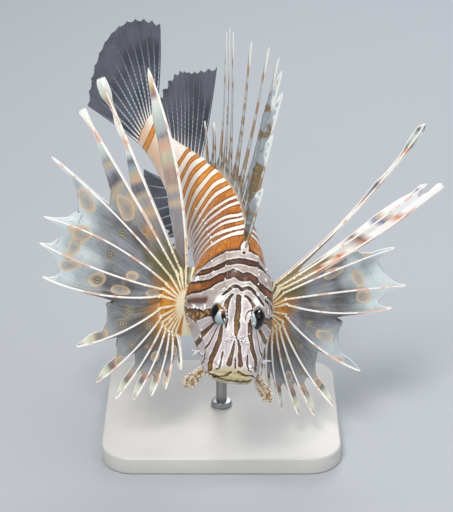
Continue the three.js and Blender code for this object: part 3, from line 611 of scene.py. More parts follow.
def carve_eyes(points):
    """Opens the skin over each eyeball."""
    for side in SIDES:
        start = points - eye_centre(side)
        reach = np.linalg.norm(start, axis=1)
        angle = np.degrees(np.arccos(np.clip((start @ look(side, *LID_TURN[side])) / reach, -1, 1)))
        under = ease(-angle, -LID_ANGLE - 1, -LID_ANGLE + 3)
        wanted = np.where(angle < LID_ANGLE + 14, np.maximum(reach, EYE_RADIUS + 0.6), reach)
        wanted = wanted + (np.minimum(reach, EYE_RADIUS - 0.5) - wanted) * under
        near = reach < EYE_RADIUS + 9
        points[near] += (start * ((wanted - reach) / reach)[:, None])[near]
    return points


def line_place(turn, places):
    """Where a trunk line lies at angles from the back, as a rounded curve."""
    return np.mean([np.interp(turn + shift, LINE_ANGLES, places) for shift in (-16, -8, 0, 8, 16)], axis=0)


def trunk_markings(place, angle):
    """Signed distance to brown on the trunk, in millimetres."""
    turn = np.abs(angle)
    wave = 0.35 * np.sin(turn / 9 + place / 5)
    brown = np.full(len(place), -FAR)
    for on_back, on_side, places in WHITE_LINES:
        middle = line_place(turn, places) + wave
        slope = (line_place(turn + 2, places) - line_place(turn - 2, places)) / 4
        tilt = 1 / np.sqrt(1 + (slope / (0.0175 * 20)) ** 2)
        half = np.interp(turn, [10, 90], [on_back, on_side])
        brown = np.maximum(brown, half - np.abs(place - middle) * tilt)
    behind_fin = ease(turn, 84, 98) * ease(-place, -84, -70)
    return brown + ease(turn, 120, 170) * 1.2 + 3 * behind_fin


def skin_piece(finish):
    """One skin over head, jaw, trunk and tail stalk."""
    turns = np.linspace(0.08, math.pi / 2, CAP_RINGS, endpoint=False)
    ends = np.linspace(math.pi / 2, math.pi - 0.15, CAP_RINGS)[1:]
    tail_end = STANDARD_LENGTH - TAIL_CAP * np.cos(ends)
    places = np.concatenate([-2 - SNOUT_CAP * np.cos(turns), SKIN_PLACES, tail_end])
    shrinks = np.concatenate([np.sin(turns), np.ones(len(SKIN_PLACES)), np.sin(ends)])
    bm = fresh(SKIN_NUMBERS)
    verts, u, v = grid(bm, SKIN_SIDES, len(places) - 1)
    row = v * (len(places) - 1)
    place = np.interp(row, np.arange(len(places)), places)
    shrink = np.interp(row, np.arange(len(places)), shrinks)
    across = 2 * u - 1
    angle = 180 * across - CROWD * np.sin(math.pi * across)
    points = plain_surface(place, angle, shrink)
    step_angle = plain_surface(place, angle + 0.5, shrink) - plain_surface(place, angle - 0.5, shrink)
    step_row = (plain_surface(place + 0.1, angle, shrink) - plain_surface(place - 0.1, angle, shrink)) / 0.2
    around = np.maximum(np.linalg.norm(step_angle, axis=1), 0.02)
    along = np.clip(np.linalg.norm(step_row, axis=1), 1, 3)
    normals = unit(np.cross(step_row, step_angle))
    outwards = points - on_body(place, 0 * place, outline(LEVEL, place))
    normals *= np.sign((normals * outwards).sum(1) + 1e-9)[:, None]
    relief, mouth, closed = head_relief(place, angle, along, around, points)
    rise = orbit_rise(points, normals) * ease(-place, -46, -40)
    whole = ease(shrink, 0.3, 0.9)
    points = points + normals * ((relief + rise) * whole)[:, None]
    points = carve_eyes(points)

    front = place < HEAD_END
    brown = np.full(len(place), FAR)
    picked = [values[front] for values in (place, angle, along, around)]
    brown[front] = line_gap(HEAD_STRIPES + mirrored(THROAT_STRIPES), *picked)
    smear = np.full(len(place), FAR)
    smear[front] = line_gap(SMEARS, *picked)
    brown = np.minimum(brown, np.where(closed > 0.1, np.abs(mouth) - 0.5, FAR))
    brown += TEETH["depth"] * tooth(angle) * np.exp(-((place - TEETH["place"]) / 1.6) ** 2) * front
    border = np.interp(np.abs(angle), LINE_ANGLES, WHITE_LINES[0][2]) - 1
    brown = np.where(place > border, trunk_markings(place, angle), brown)
    at, stretch, half = NAPE_GAP
    brown = np.maximum(brown, half - np.hypot((place - at) * stretch * along, angle * around))
    at, middle, half = NAPE_DOT
    brown = np.minimum(brown, np.hypot((place - at) * along, (angle - middle) * around) - half)
    band_place, band_half = TAIL_BAND
    band = np.abs(place - band_place - 1.5 * np.cos(np.radians(2 * angle))) - band_half
    brown = np.where(place > 170, np.minimum(brown, band), brown)
    # Painted highlights of the head, kept as the bright number
    bright = np.zeros(len(place))
    for s, a, size in HEAD_HIGHLIGHT_PATCHES:
        gap = np.hypot((place - s) * along, (angle - a) * around)
        bright = np.maximum(bright, 1 - gap / size)
    note(bm, verts, brown_gap=brown, bright=np.clip(bright, 0, 1), along=place / 100,
         cream=ease(-place, -3, 0.5), belly=ease(np.abs(angle), 105, 165),
         smear=ease(-smear, -0.8, 0.4), turn=np.abs(angle) / 100)
    move_to(verts, points)
    for end in (0, len(places) - 1):
        ring = [vert for vert, at in zip(verts, row) if round(at) == end]
        bmesh.ops.pointmerge(bm, verts=ring, merge_co=sum((vert.co for vert in ring), Vector()) / len(ring))
    bmesh.ops.remove_doubles(bm, verts=bm.verts, dist=1e-4)
    piece("body_skin", bm, finish, ("head", "lower_jaw", "trunk", "tail_stalk"))


def skin_point(place, angle, lift=0.0):
    """A point on the skin and its outward direction."""
    where = np.array([float(place)]), np.array([float(angle)]), np.ones(1)
    point = plain_surface(*where)
    along = plain_surface(where[0] + 0.2, where[1], where[2]) - point
    around = plain_surface(where[0], where[1] + 0.5, where[2]) - point
    normal = unit(np.cross(along, around))
    if (normal * (point - on_body(where[0], 0, outline(LEVEL, where[0])))).sum() < 0:
        normal = -normal
    point = point + normal * (orbit_rise(point, normal) + lift)
    return point[0], normal[0]


# Eyes and lids

def eyeballs(finish):
    """Two eyeballs whose clear front bulges a little."""
    for side in SIDES:
        bm = fresh(("to_nose", "to_top", "to_front"))
        bmesh.ops.create_uvsphere(bm, u_segments=56, v_segments=36, radius=EYE_RADIUS)
        gaze = look(side, *GAZE[side])
        up = unit(np.array([0.0, 0.0, 1.0]) - gaze * gaze[2])
        nose = unit(np.cross(up, gaze)) * -SIDES[side]
        if nose[1] > 0:
            nose = -nose
        verts = list(bm.verts)
        flat = np.array([vert.co[:] for vert in verts]) / EYE_RADIUS
        note(bm, verts, to_nose=flat[:, 0], to_top=flat[:, 1], to_front=flat[:, 2])
        bulge = 1 + 0.05 * ease(flat[:, 2], 0.72, 0.98)
        across, upwards, ahead = np.hsplit(flat * bulge[:, None] * EYE_RADIUS, 3)
        move_to(verts, eye_centre(side) + across * nose + upwards * up + ahead * gaze)
        piece(f"eyeball_{side}", bm, finish, (f"eye_{side}",))


def opening_frame(side):
    """The way an eye's opening looks, and the level and upright directions across it."""
    axis = look(side, *LID_TURN[side])
    flat = unit(np.cross(axis, [0.0, 0.0, 1.0]))
    return axis, flat, np.cross(flat, axis)


def lids(finish):
    """A soft rim where the skin meets each eyeball."""
    for side in SIDES:
        axis, flat, up = opening_frame(side)
        centre = eye_centre(side) + axis * LID_RADIUS * math.cos(OPENING)
        turns = np.linspace(0, 2 * math.pi, 73)
        radius = LID_RADIUS * math.sin(OPENING)
        path = centre + radius * (np.cos(turns)[:, None] * flat + np.sin(turns)[:, None] * up)
        bm = fresh(SKIN_NUMBERS)
        verts = tube(bm, path, [0.55] * 9, 12, closed_ends=False)
        note(bm, verts, brown_gap=3.0, along=0.3)
        piece(f"eyelid_{side}", bm, finish, ())


HEAD_SPINES = [
    (57, 84, 2.6), (56, 74, 2.2), (52, 92, 2.2), (53, 39, 1.8),
    (20, 22, 2.0), (26, 24, 1.6), (40, 22, 2.2), (47, 21, 2.0), (38, 40, 1.6), (41, 76, 1.8), (47, 80, 1.6),
    (24, 70, 1.4), (30, 73, 1.4), (17, 68, 1.2), (45, 96, 1.8), (43, 108, 1.4), (54, 60, 2.0), (50, 54, 1.4),
]
NOSTRIL_TUBES = [(12, 17, 2.6, 0.65), (16, 19, 1.6, 0.5)]
SNOUT_STARS = [(13, 8, 2.5), (12, 14, 1.8), (46, 22, 1.3), (47, 38, 1.5), (47, 52, 1.3), (36, 24, 1.5),
               (22, 74, 1.6)]
BROW = {"from": 30, "to": 150, "count": 9, "length": 1.5}
LATERAL_LINE = [(119, 72), (111, 70), (105, 67), (100, 64), (92, 60), (85, 57), (79, 51), (72, 47)]
CHEEK_THREADS = [
    (17, 88, [(0, 0, 0), (-3, -1, 0.4), (-5.4, -1.6, 1.4)]),
    (19, 92, [(0, 0, 0), (-2, -1, -1), (-3.4, -2.2, -2.6)]),
    (12, 80, [(0, 0, 0), (-1.6, -0.6, 0.6), (-2.6, -0.6, 1.6)]),
]


def thorn(bm, point, sink, reach, knee, radii, sides):
    """A small tube that starts below a point of the skin and bends at its knee."""
    return tube(bm, [point - sink, point + reach * knee, point + reach], radii, sides)


def head_details(finish):
    """Small spines of the head, nostril tubes, skin threads on the cheeks and pale knobs."""
    bm = fresh(SKIN_NUMBERS)
    made = []
    for side in SIDES.values():
        for place, angle, length in HEAD_SPINES:
            point, normal = skin_point(place, -side * angle)
            back = body_frame(place)[1][0]
            way = unit(normal * 0.8 + back * 0.7)
            made += thorn(bm, point, normal * 0.6, way * length, 0.5, [0.75, 0.4, 0.1], 8)
        for place, angle, length, radius in NOSTRIL_TUBES:
            point, normal = skin_point(place, -side * angle)
            way = unit(normal + np.array([side * 0.3, -0.5, 0.2]))
            widths = [radius, radius * 0.8, radius * 1.1]
            made += thorn(bm, point, normal * 0.5, way * length, 0.4, widths, 10)
        for place, angle, steps in CHEEK_THREADS:
            point, _ = skin_point(place, -side * angle, -0.3)
            path = smooth_line([point + np.array(step) * (-side, 1, 1) for step in steps], 5)
            made += tube(bm, path, [0.35, 0.3, 0.12], 8)
        for place, angle, length in SNOUT_STARS:
            point, normal = skin_point(place, -side * angle)
            across = unit(np.cross(normal, body_frame(place)[1][0]))
            ahead = np.cross(across, normal)
            for k in range(5):
                turn = 2 * math.pi * k / 5 + place
                way = unit(across * math.cos(turn) + ahead * math.sin(turn) + normal * 0.7)
                made += thorn(bm, point, normal * 0.3, way * length, 0.6, [0.5, 0.38, 0.1], 6)
        for place, angle in LATERAL_LINE:
            point, normal = skin_point(place, -side * angle)
            back = body_frame(place)[1][0]
            start, end = point - back * 0.9 - normal * 0.2, point + back * 1.1 + normal * 0.35
            made += tube(bm, [start, point + normal * 0.25, end], [0.3, 0.5, 0.15], 7)
    for side in SIDES:
        axis, flat, up = opening_frame(side)
        for k in range(BROW["count"]):
            turn = math.radians(BROW["from"] + (BROW["to"] - BROW["from"]) * k / (BROW["count"] - 1))
            rim = flat * math.cos(turn) + up * math.sin(turn)
            start = eye_centre(side) + (axis * math.cos(OPENING) + rim * math.sin(OPENING)) * LID_RADIUS
            way = unit(rim + axis * 0.3)
            length = BROW["length"] * (1 + 0.35 * math.sin(k * 2.4))
            made += thorn(bm, start, way * 0.3, way * length, 0.6, [0.55, 0.4, 0.1], 6)
    note(bm, made, brown_gap=4.0, bright=0.8)
    piece("head_spines_and_threads", bm, finish, ())


# Fins

RIM_LEAF = 0.12


class Ray:
    """One fin ray: a curve from root to tip with a crest and free membrane on both sides."""

    def __init__(self, root, tip, bow, half, foot, above=0.3, below=0.3):
        self.root, self.tip = np.asarray(root, float), np.asarray(tip, float)
        self.middle = (self.root + self.tip) / 2 + 2 * np.asarray(bow, float)
        self.half, self.foot, self.above, self.below = half, foot, above, below
        self.blunt = isinstance(below, list) and below[-1][1] > 1
        self.length = np.linalg.norm(np.diff(self.point(np.linspace(0, 1, 40)), axis=0), axis=1).sum()

    def point(self, t):
        """Points at shares of the way from root to tip."""
        t = np.reshape(t, (-1, 1))
        return (1 - t) ** 2 * self.root + 2 * (1 - t) * t * self.middle + t * t * self.tip

    def along(self, t):
        """Directions towards the tip at the same shares."""
        t = np.reshape(t, (-1, 1))
        return unit((1 - t) * (self.middle - self.root) + t * (self.tip - self.middle))


def free_width(scallop, flag, past, t):
    """Width of the free membrane beside a ray: a round bite from the web's notch, and a flag or blade."""
    bite = scallop * (1 - np.sqrt(past * (2 - past)))
    if isinstance(flag, list):
        places, widths = np.array(flag, float).T
        shifts = (-0.015, -0.005, 0.005, 0.015)
        blade = np.mean([np.interp(t + shift, places, widths) for shift in shifts], axis=0)
    else:
        blade = flag * np.sin(math.pi * np.clip(1 - past, 0, 0.5)) ** 1.2
    return np.maximum(np.maximum(RIM_LEAF, bite), blade)


def fin_sheet(bm, rays, webs, rings=48, web_cells=5, ray_cells=3, membrane=0.18, tip_half=0.12, billow=None,
              ragged=0.0, plane=None, twist=None):
    """A fin as one closed sheet whose membrane rises to a crest along each ray.

    Each web is (share of the shorter ray that it reaches, place of its notch between the rays).
    """
    count = len(rays)
    steps = 1 - (1 - np.arange(rings + 1) / rings) ** 1.3

    def foot(i, t):
        """Half width of a ray's crest."""
        return rays[i].foot * (1 - 0.35 * t)

    def beside(i, t, offset):
        """Points of the sheet at a distance to one side of a ray."""
        before, after = rays[max(i - 1, 0)].point(t), rays[min(i + 1, count - 1)].point(t)
        way = rays[i].along(t)
        across = after - before if count > 1 else np.broadcast_to(plane, way.shape)
        if twist is not None:
            across = unit(across) + np.reshape(ease(t, 0.1, 0.35), (-1, 1)) * twist[i]
        across = unit(across - way * (across * way).sum(1, keepdims=True))
        return rays[i].point(t) + across * np.reshape(offset, (-1, 1))

    reaches, joins, shared, spans = [], [], [], []
    for i, (reach, notch) in enumerate(webs):
        shorter = min(rays[i].length, rays[i + 1].length)
        a, b = reach * shorter / rays[i].length, reach * shorter / rays[i + 1].length
        join = max(1, round(rings * (1 - (1 - (a + b) / 2) ** (1 / 1.3))))
        run = steps[:join + 1] / steps[join]
        lean = (0.5 + (notch - 0.5) * run ** 2)[:, None]
        first, second = beside(i, a * run, foot(i, a * run)), beside(i + 1, b * run, -foot(i + 1, b * run))
        reaches.append((a, b))
        joins.append(join)
        shared.append(first * (1 - lean) + second * lean)
        spans.append(np.linalg.norm(second - first, axis=1) / 2)

    def tip_round(i, t):
        """Rays end round, except where their blade is blunt."""
        start = 0.99 if rays[i].blunt else 0.965
        return np.sqrt(np.clip(1 - ease(t, start, 1.0) * (0.3 if rays[i].blunt else 0.98), 0, 1))

    def edge(i, sign):
        """The outer line of a ray's strip on one side, with its web's end, free width and span."""
        web = i if sign > 0 else i - 1
        line, span = np.zeros((rings + 1, 3)), np.zeros(rings + 1)
        joined = 0 <= web < len(webs)
        join = joins[web] if joined else -1
        start = reaches[web][0 if sign > 0 else 1] if joined else 0.0
        foot_point = beside(i, start, sign * foot(i, start))[0]
        notch = np.linalg.norm(shared[web][join] - foot_point) if joined else 0.0
        free = np.arange(join + 1, rings + 1)
        t = steps[free]
        past = np.clip((t - start) / (1 - start), 0, 1)
        width = free_width(notch, rays[i].below if sign > 0 else rays[i].above, past, t)
        width = width * (1 + ragged * np.sin(t * 151 + i * 2.3) * np.sin(t * 57 + i))
        line[free] = beside(i, t, sign * (foot(i, t) + width) * tip_round(i, t))
        span[free] = width
        if joined:
            line[:join + 1], span[:join + 1] = shared[web], spans[web]
            span[free] *= spans[web][join] / max(notch, 0.1)
        full = np.zeros(rings + 1)
        full[free] = width
        return line, join, full, span

    made_all = []
    for i in range(count):
        left, left_join, left_width, left_span = edge(i, -1)
        right, right_join, right_width, right_span = edge(i, 1)
        columns = 2 * web_cells + 2 * ray_cells
        verts, u, v = grid(bm, columns, rings)
        column, row = np.rint(u * columns).astype(int), np.rint(v * rings).astype(int)
        t = steps[row]
        offset = (column - web_cells - ray_cells) / ray_cells
        core = np.abs(offset) <= 1
        side = np.sign(offset)
        at_foot = beside(i, t, np.clip(offset, -1, 1) * foot(i, t) * tip_round(i, t))
        out = np.clip((np.abs(column - web_cells - ray_cells) - ray_cells) / web_cells, 0, 1)[:, None]
        rim_line = np.where((side < 0)[:, None], left[row], right[row])
        points = at_foot * (1 - out) + rim_line * out
        out = out[:, 0]
        span = np.linalg.norm(rim_line - at_foot, axis=1)
        if billow is not None:
            spread = np.where(side < 0, left_span[row], right_span[row])
            lift = np.sin(out * math.pi / 2) ** 2 * np.minimum(spread, 9)
            lift = lift * np.sin(math.pi * np.clip(t, 0, 1)) ** 0.5
            points = points + lift[:, None] * billow
        if rays[i].blunt:
            fray = ease(t, 0.985, 1.0) * (np.sin(column * 1.9 + i) + 0.6 * np.sin(column * 3.7)) * 0.5
            points = points + rays[i].along(t) * fray[:, None]
        crest_half = rays[i].half + (tip_half - rays[i].half) * t ** 0.7
        crest = np.cos(np.clip(offset, -1, 1) * math.pi / 2) ** 2
        half = np.maximum(membrane + (crest_half - membrane) * crest, tip_half)
        half = half * np.where(core, 1, 1 - 0.3 * out)
        join = np.where(side < 0, left_join, right_join)
        width = np.where(side < 0, left_width[row], right_width[row])
        to_notch = np.maximum(steps[np.maximum(join, 0)] - t, 0) * rays[i].length
        rim = np.where(row > join, (1 - out) * width, np.hypot(to_notch, (1 - out) * span))
        if rays[i].blunt:
            rim = np.minimum(rim, (1 - t) * rays[i].length)
        place = i + 0.5 * side * (np.clip(np.abs(offset), 0, 1) * 0.08 + out * 0.92)
        note(bm, verts, half=half, ray_place=place, reach=t, run=t * rays[i].length / 100, crest=crest,
             rim=np.clip(rim, 0, 6), ray_number=i, side=side * np.clip(np.abs(offset), 0, 1))
        move_to(verts, points)
        made_all += verts
    bmesh.ops.remove_doubles(bm, verts=made_all, dist=1e-3)
    thicken(bm)


def thicken(bm):
    """Gives a sheet its two faces, which meet at the rim."""
    bmesh.ops.recalc_face_normals(bm, faces=bm.faces)
    bm.normal_update()
    half = bm.verts.layers.float["half"]
    for vert in bm.verts:
        if vert.is_boundary:
            vert[half] = 0.0
    front = list(bm.verts)
    shift = [vert.normal * vert[half] for vert in front]
    copy = bmesh.ops.duplicate(bm, geom=bm.verts[:] + bm.edges[:] + bm.faces[:])
    back = [copy["vert_map"][vert] for vert in front]
    bmesh.ops.reverse_faces(bm, faces=[item for item in copy["geom"] if isinstance(item, bmesh.types.BMFace)])
    for vert, other, way in zip(front, back, shift):
        vert.co += way
        other.co -= way
    bmesh.ops.remove_doubles(bm, verts=bm.verts, dist=1e-4)


def along_three(sizes, t):
    """Value between the first, a middle and the last of three sizes."""
    first, middle, last = sizes
    lift = math.sin(math.pi * t)
    return (first if t < 0.5 else last) * (1 - lift) + middle * lift


MIDLINE_ROOT = 3


def midline_ray(place, height, length, lean, side, curl, **sizes):
    """A ray that stands on the back or hangs from the belly."""
    _, tail, left, back = (vectors[0] for vectors in body_frame(place))
    down = math.copysign(1, height)
    root = on_body(place, 0, height - down * MIDLINE_ROOT)[0]
    lean, side = math.radians(lean), math.radians(side)
    way = back * down * math.cos(lean) + tail * math.sin(lean)
    way = way * math.cos(side) + left * math.sin(side)
    return Ray(root, root + way * (length + MIDLINE_ROOT), -curl * tail, **sizes)


# Dorsal spines: place on the back, length, lean back, lean to the fish's left
DORSAL_SPINES = [
    (58, 36, 8, 3), (65, 62, 8, 2), (73, 80, 8, 3), (80, 88, 7, 2), (87, 92, 6, 1), (95, 92, 7, -1),
    (102, 90, 9, -5), (109, 89, 14, -8), (117, 87, 15, -7), (124, 79, 21, -3), (131, 28, 14, -10),
    (138, 26, 16, -13),
]
SPINE, SOFT_RAY = {"half": 0.9, "foot": 0.8}, {"half": 0.5, "foot": 0.5}
FLAGGED_SPINES = 4  # how many of them, from the front, turn a wide flag to the viewer
WIDE_FLAG = [(0, 2.5), (0.15, 2.6), (0.3, 3.0), (0.5, 3.8), (0.68, 4.2), (0.8, 3.5), (0.92, 1.7), (1, 0.1)]
SHORT_FLAG = [(0, 2.4), (0.3, 2.8), (0.5, 2.8), (0.62, 3.9), (0.78, 4.0), (0.92, 2.0), (1, 0.1)]
NARROW_FLAG = [(0, 1.8), (0.12, 1.6), (0.22, 0.7), (0.5, 0.5), (0.8, 0.6), (0.9, 0.8), (0.96, 0.6), (1, 0.1)]
LOW_FLAG = [(0, 1.4), (0.3, 0.9), (0.7, 0.7), (0.9, 0.6), (1, 0.1)]
SPINE_WEB = 0.16


def dorsal_spines(finish):
    """The twelve free spines of the back, with their flags of membrane."""
    bm = fresh(FIN_NUMBERS)
    flags = [SHORT_FLAG, WIDE_FLAG, WIDE_FLAG, WIDE_FLAG] + [NARROW_FLAG] * 6 + [LOW_FLAG] * 2
    rays = [midline_ray(at, outline(BACK, at), length, lean, side, 1, below=flag, above=0.15, **SPINE)
            for (at, length, lean, side), flag in zip(DORSAL_SPINES, flags)]
    webs = [(0.2 if after[1] < before[1] * 0.6 else SPINE_WEB, 0.75)
            for before, after in zip(DORSAL_SPINES, DORSAL_SPINES[1:])]
    fin_sheet(bm, rays, webs, rings=80, web_cells=4, ray_cells=4, ragged=0.06, membrane=0.15,
              twist=[np.array([-turned, 0, 0]) for turned in [1.1, 1.1, 1.1, 0.5] + [0] * 8])
    piece("dorsal_spine_rods", bm, finish, ("dorsal_spines",))


def soft_fin(first, last, count, lengths, leans, sides, column, spines=0):
    """Rays of a soft fin on the midline, and its webs."""
    rays = []
    for i in range(count):
        t = i / (count - 1)
        place = first + (last - first) * t
        rays.append(midline_ray(
            place, float(outline(column, place)), along_three(lengths, t), along_three(leans, t),
            sides[0] + (sides[1] - sides[0]) * t, 1.2, **(SPINE if i < spines else SOFT_RAY)))
    return rays, [(0.6 if i < spines else 0.985, 0.5) for i in range(count - 1)]


TAIL_RAYS = 13
TAIL_FAN = (60, -11)  # angles of the first and the last ray above the body's axis


def midline_fins(finish):
    """Soft dorsal fin, anal fin and tail fin."""
    for name, node, sizes in (
        ("soft_dorsal_membrane", "soft_dorsal_fin", (146, 177, 11, (51, 43, 24), (26, 42, 64), (7, 0), BACK)),
        ("anal_membrane", "anal_fin", (128, 166, 9, (12, 42, 24), (28, 42, 66), (0, 0), BELLY, 3)),
    ):
        bm = fresh(FIN_NUMBERS)
        fin_sheet(bm, *soft_fin(*sizes), rings=44, web_cells=4, ray_cells=2, ragged=0.05)
        piece(name, bm, finish, (node,))
    bm = fresh(FIN_NUMBERS)
    _, tail, left, back = (vectors[0] for vectors in body_frame(STANDARD_LENGTH + KICK_LENGTH))
    rays = []
    for i in range(TAIL_RAYS):
        t = i / (TAIL_RAYS - 1)
        angle = math.radians(TAIL_FAN[0] + (TAIL_FAN[1] - TAIL_FAN[0]) * t)
        root = on_body(STANDARD_LENGTH - 4, 0, 8.6 * (1 - 2 * t))[0]
        way = tail * math.cos(angle) + back * math.sin(angle)
        length = along_three((52, 64, 54), t) + 4
        rays.append(Ray(root, root + way * length, left * 1.5, half=0.7, foot=0.85))
    fin_sheet(bm, rays, [(0.992, 0.5)] * (TAIL_RAYS - 1), rings=60, web_cells=4, ray_cells=3, ragged=0.05)
    piece("tail_membrane", bm, finish, ("tail_fin",))


# Pectoral rays from the top of the fin round to the bottom: angle of the tip above straight out, length,
# upward bow, free membrane above and below, and the reach and notch of the web to the next ray. A free
# membrane is one width, or widths at places along the ray.
LONG_RIBBON = [(0, 2), (0.1, 4.6), (0.3, 6.6), (0.55, 6.8), (0.76, 5.8), (0.87, 3.2), (0.95, 1.5), (1, 0.2)]
PADDLE_RIBBON = [(0, 2), (0.25, 5), (0.36, 7), (0.46, 7), (0.56, 4.6), (0.64, 2.0), (0.68, 0.6), (0.72, 2.2),
                 (0.78, 2.0), (0.83, 0.5), (0.87, 1.0), (0.92, 3.2), (0.97, 3.0), (1, 2.0)]
PADDLE_BACK = [(0, 0.3), (0.87, 0.3), (0.92, 2.0), (0.97, 2.2), (1, 1.8)]
FLAT_RIBBON = [(0.5, 8.5), (0.58, 8.0), (0.68, 5.4), (0.78, 2.6), (0.84, 0.7), (0.89, 0.5), (0.95, 1.4),
               (1, 1.9)]
FLAT_BACK = [(0, 0.3), (0.9, 0.3), (0.96, 1.3), (1, 1.7)]
CLUB_ABOVE = [(0, 0.4), (0.4, 0.5), (0.55, 1.2), (0.65, 1.8), (0.72, 0.8), (0.82, 0.7), (0.9, 2.2),
              (0.97, 2.2), (1, 0.9)]
CLUB_BELOW = [(0, 0.3), (0.5, 0.5), (0.82, 0.7), (0.9, 1.9), (0.97, 2.1), (1, 0.9)]
BLADE_ABOVE = [(0, 0.4), (0.3, 0.8), (0.5, 1.8), (0.68, 3.0), (0.82, 2.4), (0.9, 1.0), (0.95, 1.6), (1, 0.7)]
LOBE_ABOVE = [(0, 0.4), (0.86, 0.5), (0.93, 2.0), (0.97, 2.4), (1, 1.8)]
LOBE_BELOW = [(0, 0.6), (0.9, 0.7), (1, 1.2)]
RIGHT_RAYS = [
    (63, 121, 5, 0.3, LONG_RIBBON, 0.12, 0.9), (51, 123, 0, PADDLE_BACK, PADDLE_RIBBON, 0.28, 0.95),
    (43, 113, 0.5, FLAT_BACK, FLAT_RIBBON, 0.57, 0.9), (28, 104, 2.5, 0.4, 1.2, 0.81, 0.65),
    (11, 89, 4.6, 0.3, 0.6, 0.89, 0.5), (2, 86, -2.5, 0.3, 0.6, 0.88, 0.55),
    (-10, 81, -4.7, 0.3, 0.3, 0.54, 0.1), (-41, 69, -3, 4.4, 0.3, 0.57, 0.1),
    (-59, 71, -2.3, 4.0, 0.3, 0.5, 0.1), (-70, 71, -1.8, 3.0, 0.3, 0.66, 0.15),
    (-77, 66, -2, 2.8, 0.3, 0.72, 0.2), (-84, 60, -2, 2.4, 0.3, 0.72, 0.2),
    (-90, 54, -1.5, 2, 0.3, 0.65, 0.2), (-97, 42, -1, 1.4, 0.3, 0, 0),
]
LEFT_RAYS = [
    (49, 130, -5, CLUB_ABOVE, CLUB_BELOW, 0.15, 0.7), (36.5, 110, -1.5, BLADE_ABOVE, 0.5, 0.94, 0.5),
    (33.5, 117, -3.5, LOBE_ABOVE, LOBE_BELOW, 0.7, 0.1), (23, 78, 1, 1.2, 0.4, 0.84, 0.3),
    (7, 80, 0.5, 0.8, 0.8, 0.88, 0.6), (-2, 72, -4, 0.4, 0.3, 0.57, 0.1),
    (-34, 67, -3.5, 3.6, 0.3, 0.52, 0.1), (-54, 71, -3, 3.4, 0.3, 0.62, 0.12),
    (-64, 69, -2, 3.0, 0.3, 0.66, 0.15), (-71, 65, -2, 2.8, 0.3, 0.7, 0.2), (-79, 59, -2, 2.4, 0.3, 0.7, 0.2),
    (-86, 48, -1.5, 2, 0.3, 0.68, 0.2), (-92, 40, -1, 1.4, 0.3, 0.65, 0.2), (-99, 33, -1, 0.8, 0.3, 0, 0),
]
# Marks on the pectoral membrane: place between the rays and along them, then the size of an eye spot, or the
# half lengths of a ring along and across and its turn
EYE_SPOTS = {
    "right": [(3.4, 0.42, 4), (4.35, 0.47, 4), (3.8, 0.17, 3), (5.45, 0.53, 4), (1.75, 0.15, 2),
              (6.45, 0.32, 4), (6.8, 0.45, 4), (7.5, 0.2, 4), (7.75, 0.47, 3), (10.6, 0.58, 3),
              (2.45, 0.3, 2), (8.6, 0.35, 2)],
    "left": [(4.5, 0.28, 3), (5.5, 0.3, 3), (7.4, 0.53, 3), (8.2, 0.37, 3), (3.5, 0.35, 2), (6.5, 0.35, 2)],
}
RINGS = {
    "right": [(3.3, 0.7, 8.5, 4, -18), (4.15, 0.72, 6.5, 4.5, 8), (4.72, 0.74, 3.2, 4.5, 0),
              (5.25, 0.75, 5.5, 3, 25), (5.45, 0.53, 4.4, 4.2, 0), (4.8, 0.27, 4.5, 3, 0),
              (5.65, 0.35, 4.5, 2.6, 0), (2.55, 0.47, 7, 4, 0), (6.95, 0.72, 4, 4, 0),
              (8.0, 0.68, 3.6, 3.2, 0), (9.2, 0.76, 3, 2, 0), (9.95, 0.4, 3, 2.2, 0),
              (11.3, 0.78, 3.5, 2.4, 0), (12.25, 0.35, 3, 2, 0), (5.58, 0.1, 3.5, 2, 0)],
    "left": [(3.05, 0.45, 5, 2.6, 0), (3.6, 0.63, 3.4, 5.5, 0), (4.3, 0.65, 4.5, 4.5, 0),
             (2.75, 0.66, 3, 3, 0), (6.0, 0.75, 3.6, 2.8, 0), (6.9, 0.7, 3, 2.6, 0), (8.6, 0.55, 3, 2, 0),
             (5.65, 0.48, 6, 3, 0), (7.9, 0.72, 3, 2, 0), (9.2, 0.7, 3, 2, 0)],
}
PECTORAL_CENTRE = (20, 64, -8)
PECTORAL_TILT = math.radians(35)
PECTORAL_SWEEP = math.radians(12)
FLESH_REACH, FLESH_THICK, FLESH_ROOTS, FLESH_SPREAD = 15, 4.2, 0.86, 75
FLESH_PLACE = {"right": (22, 7, 20), "left": (18, 3.5, 16)}  # out, drop below the centre, rise


def pectoral_frame(side):
    """Middle of a pectoral fin, and its directions straight out, up and forwards."""
    sign = SIDES[side]
    out = np.array([sign * math.cos(PECTORAL_SWEEP), math.sin(PECTORAL_SWEEP), 0])
    up = np.array([0, math.sin(PECTORAL_TILT), math.cos(PECTORAL_TILT)])
    up = unit(up - out * np.dot(up, out))
    forward = np.cross(out, up) * sign
    return np.array(PECTORAL_CENTRE) * (sign, 1, 1), out, up, forward


def pectoral_rays(side, rows):
    """Rays of a pectoral fin, fanned out from the heart of its fleshy base."""
    centre, out, up, _ = pectoral_frame(side)
    flesh_out, drop, rise = FLESH_PLACE[side]
    heart = np.array([SIDES[side] * flesh_out, centre[1], centre[2] - drop])
    rays = []
    for i, (angle, length, bow, above, below, _, _) in enumerate(rows):
        turn = math.radians(angle)
        way = out * math.cos(turn) + up * math.sin(turn)
        square = up * math.cos(turn) - out * math.sin(turn)
        start = math.radians((angle + FLESH_SPREAD - 2 * FLESH_SPREAD * i / (len(rows) - 1)) / 2)
        root = heart + out * FLESH_ROOTS * FLESH_REACH * math.cos(start)
        root = root + up * FLESH_ROOTS * rise * math.sin(start)
        rays.append(Ray(root, centre + way * length, square * bow, 0.75, 0.78, above, below))
    return rays, heart


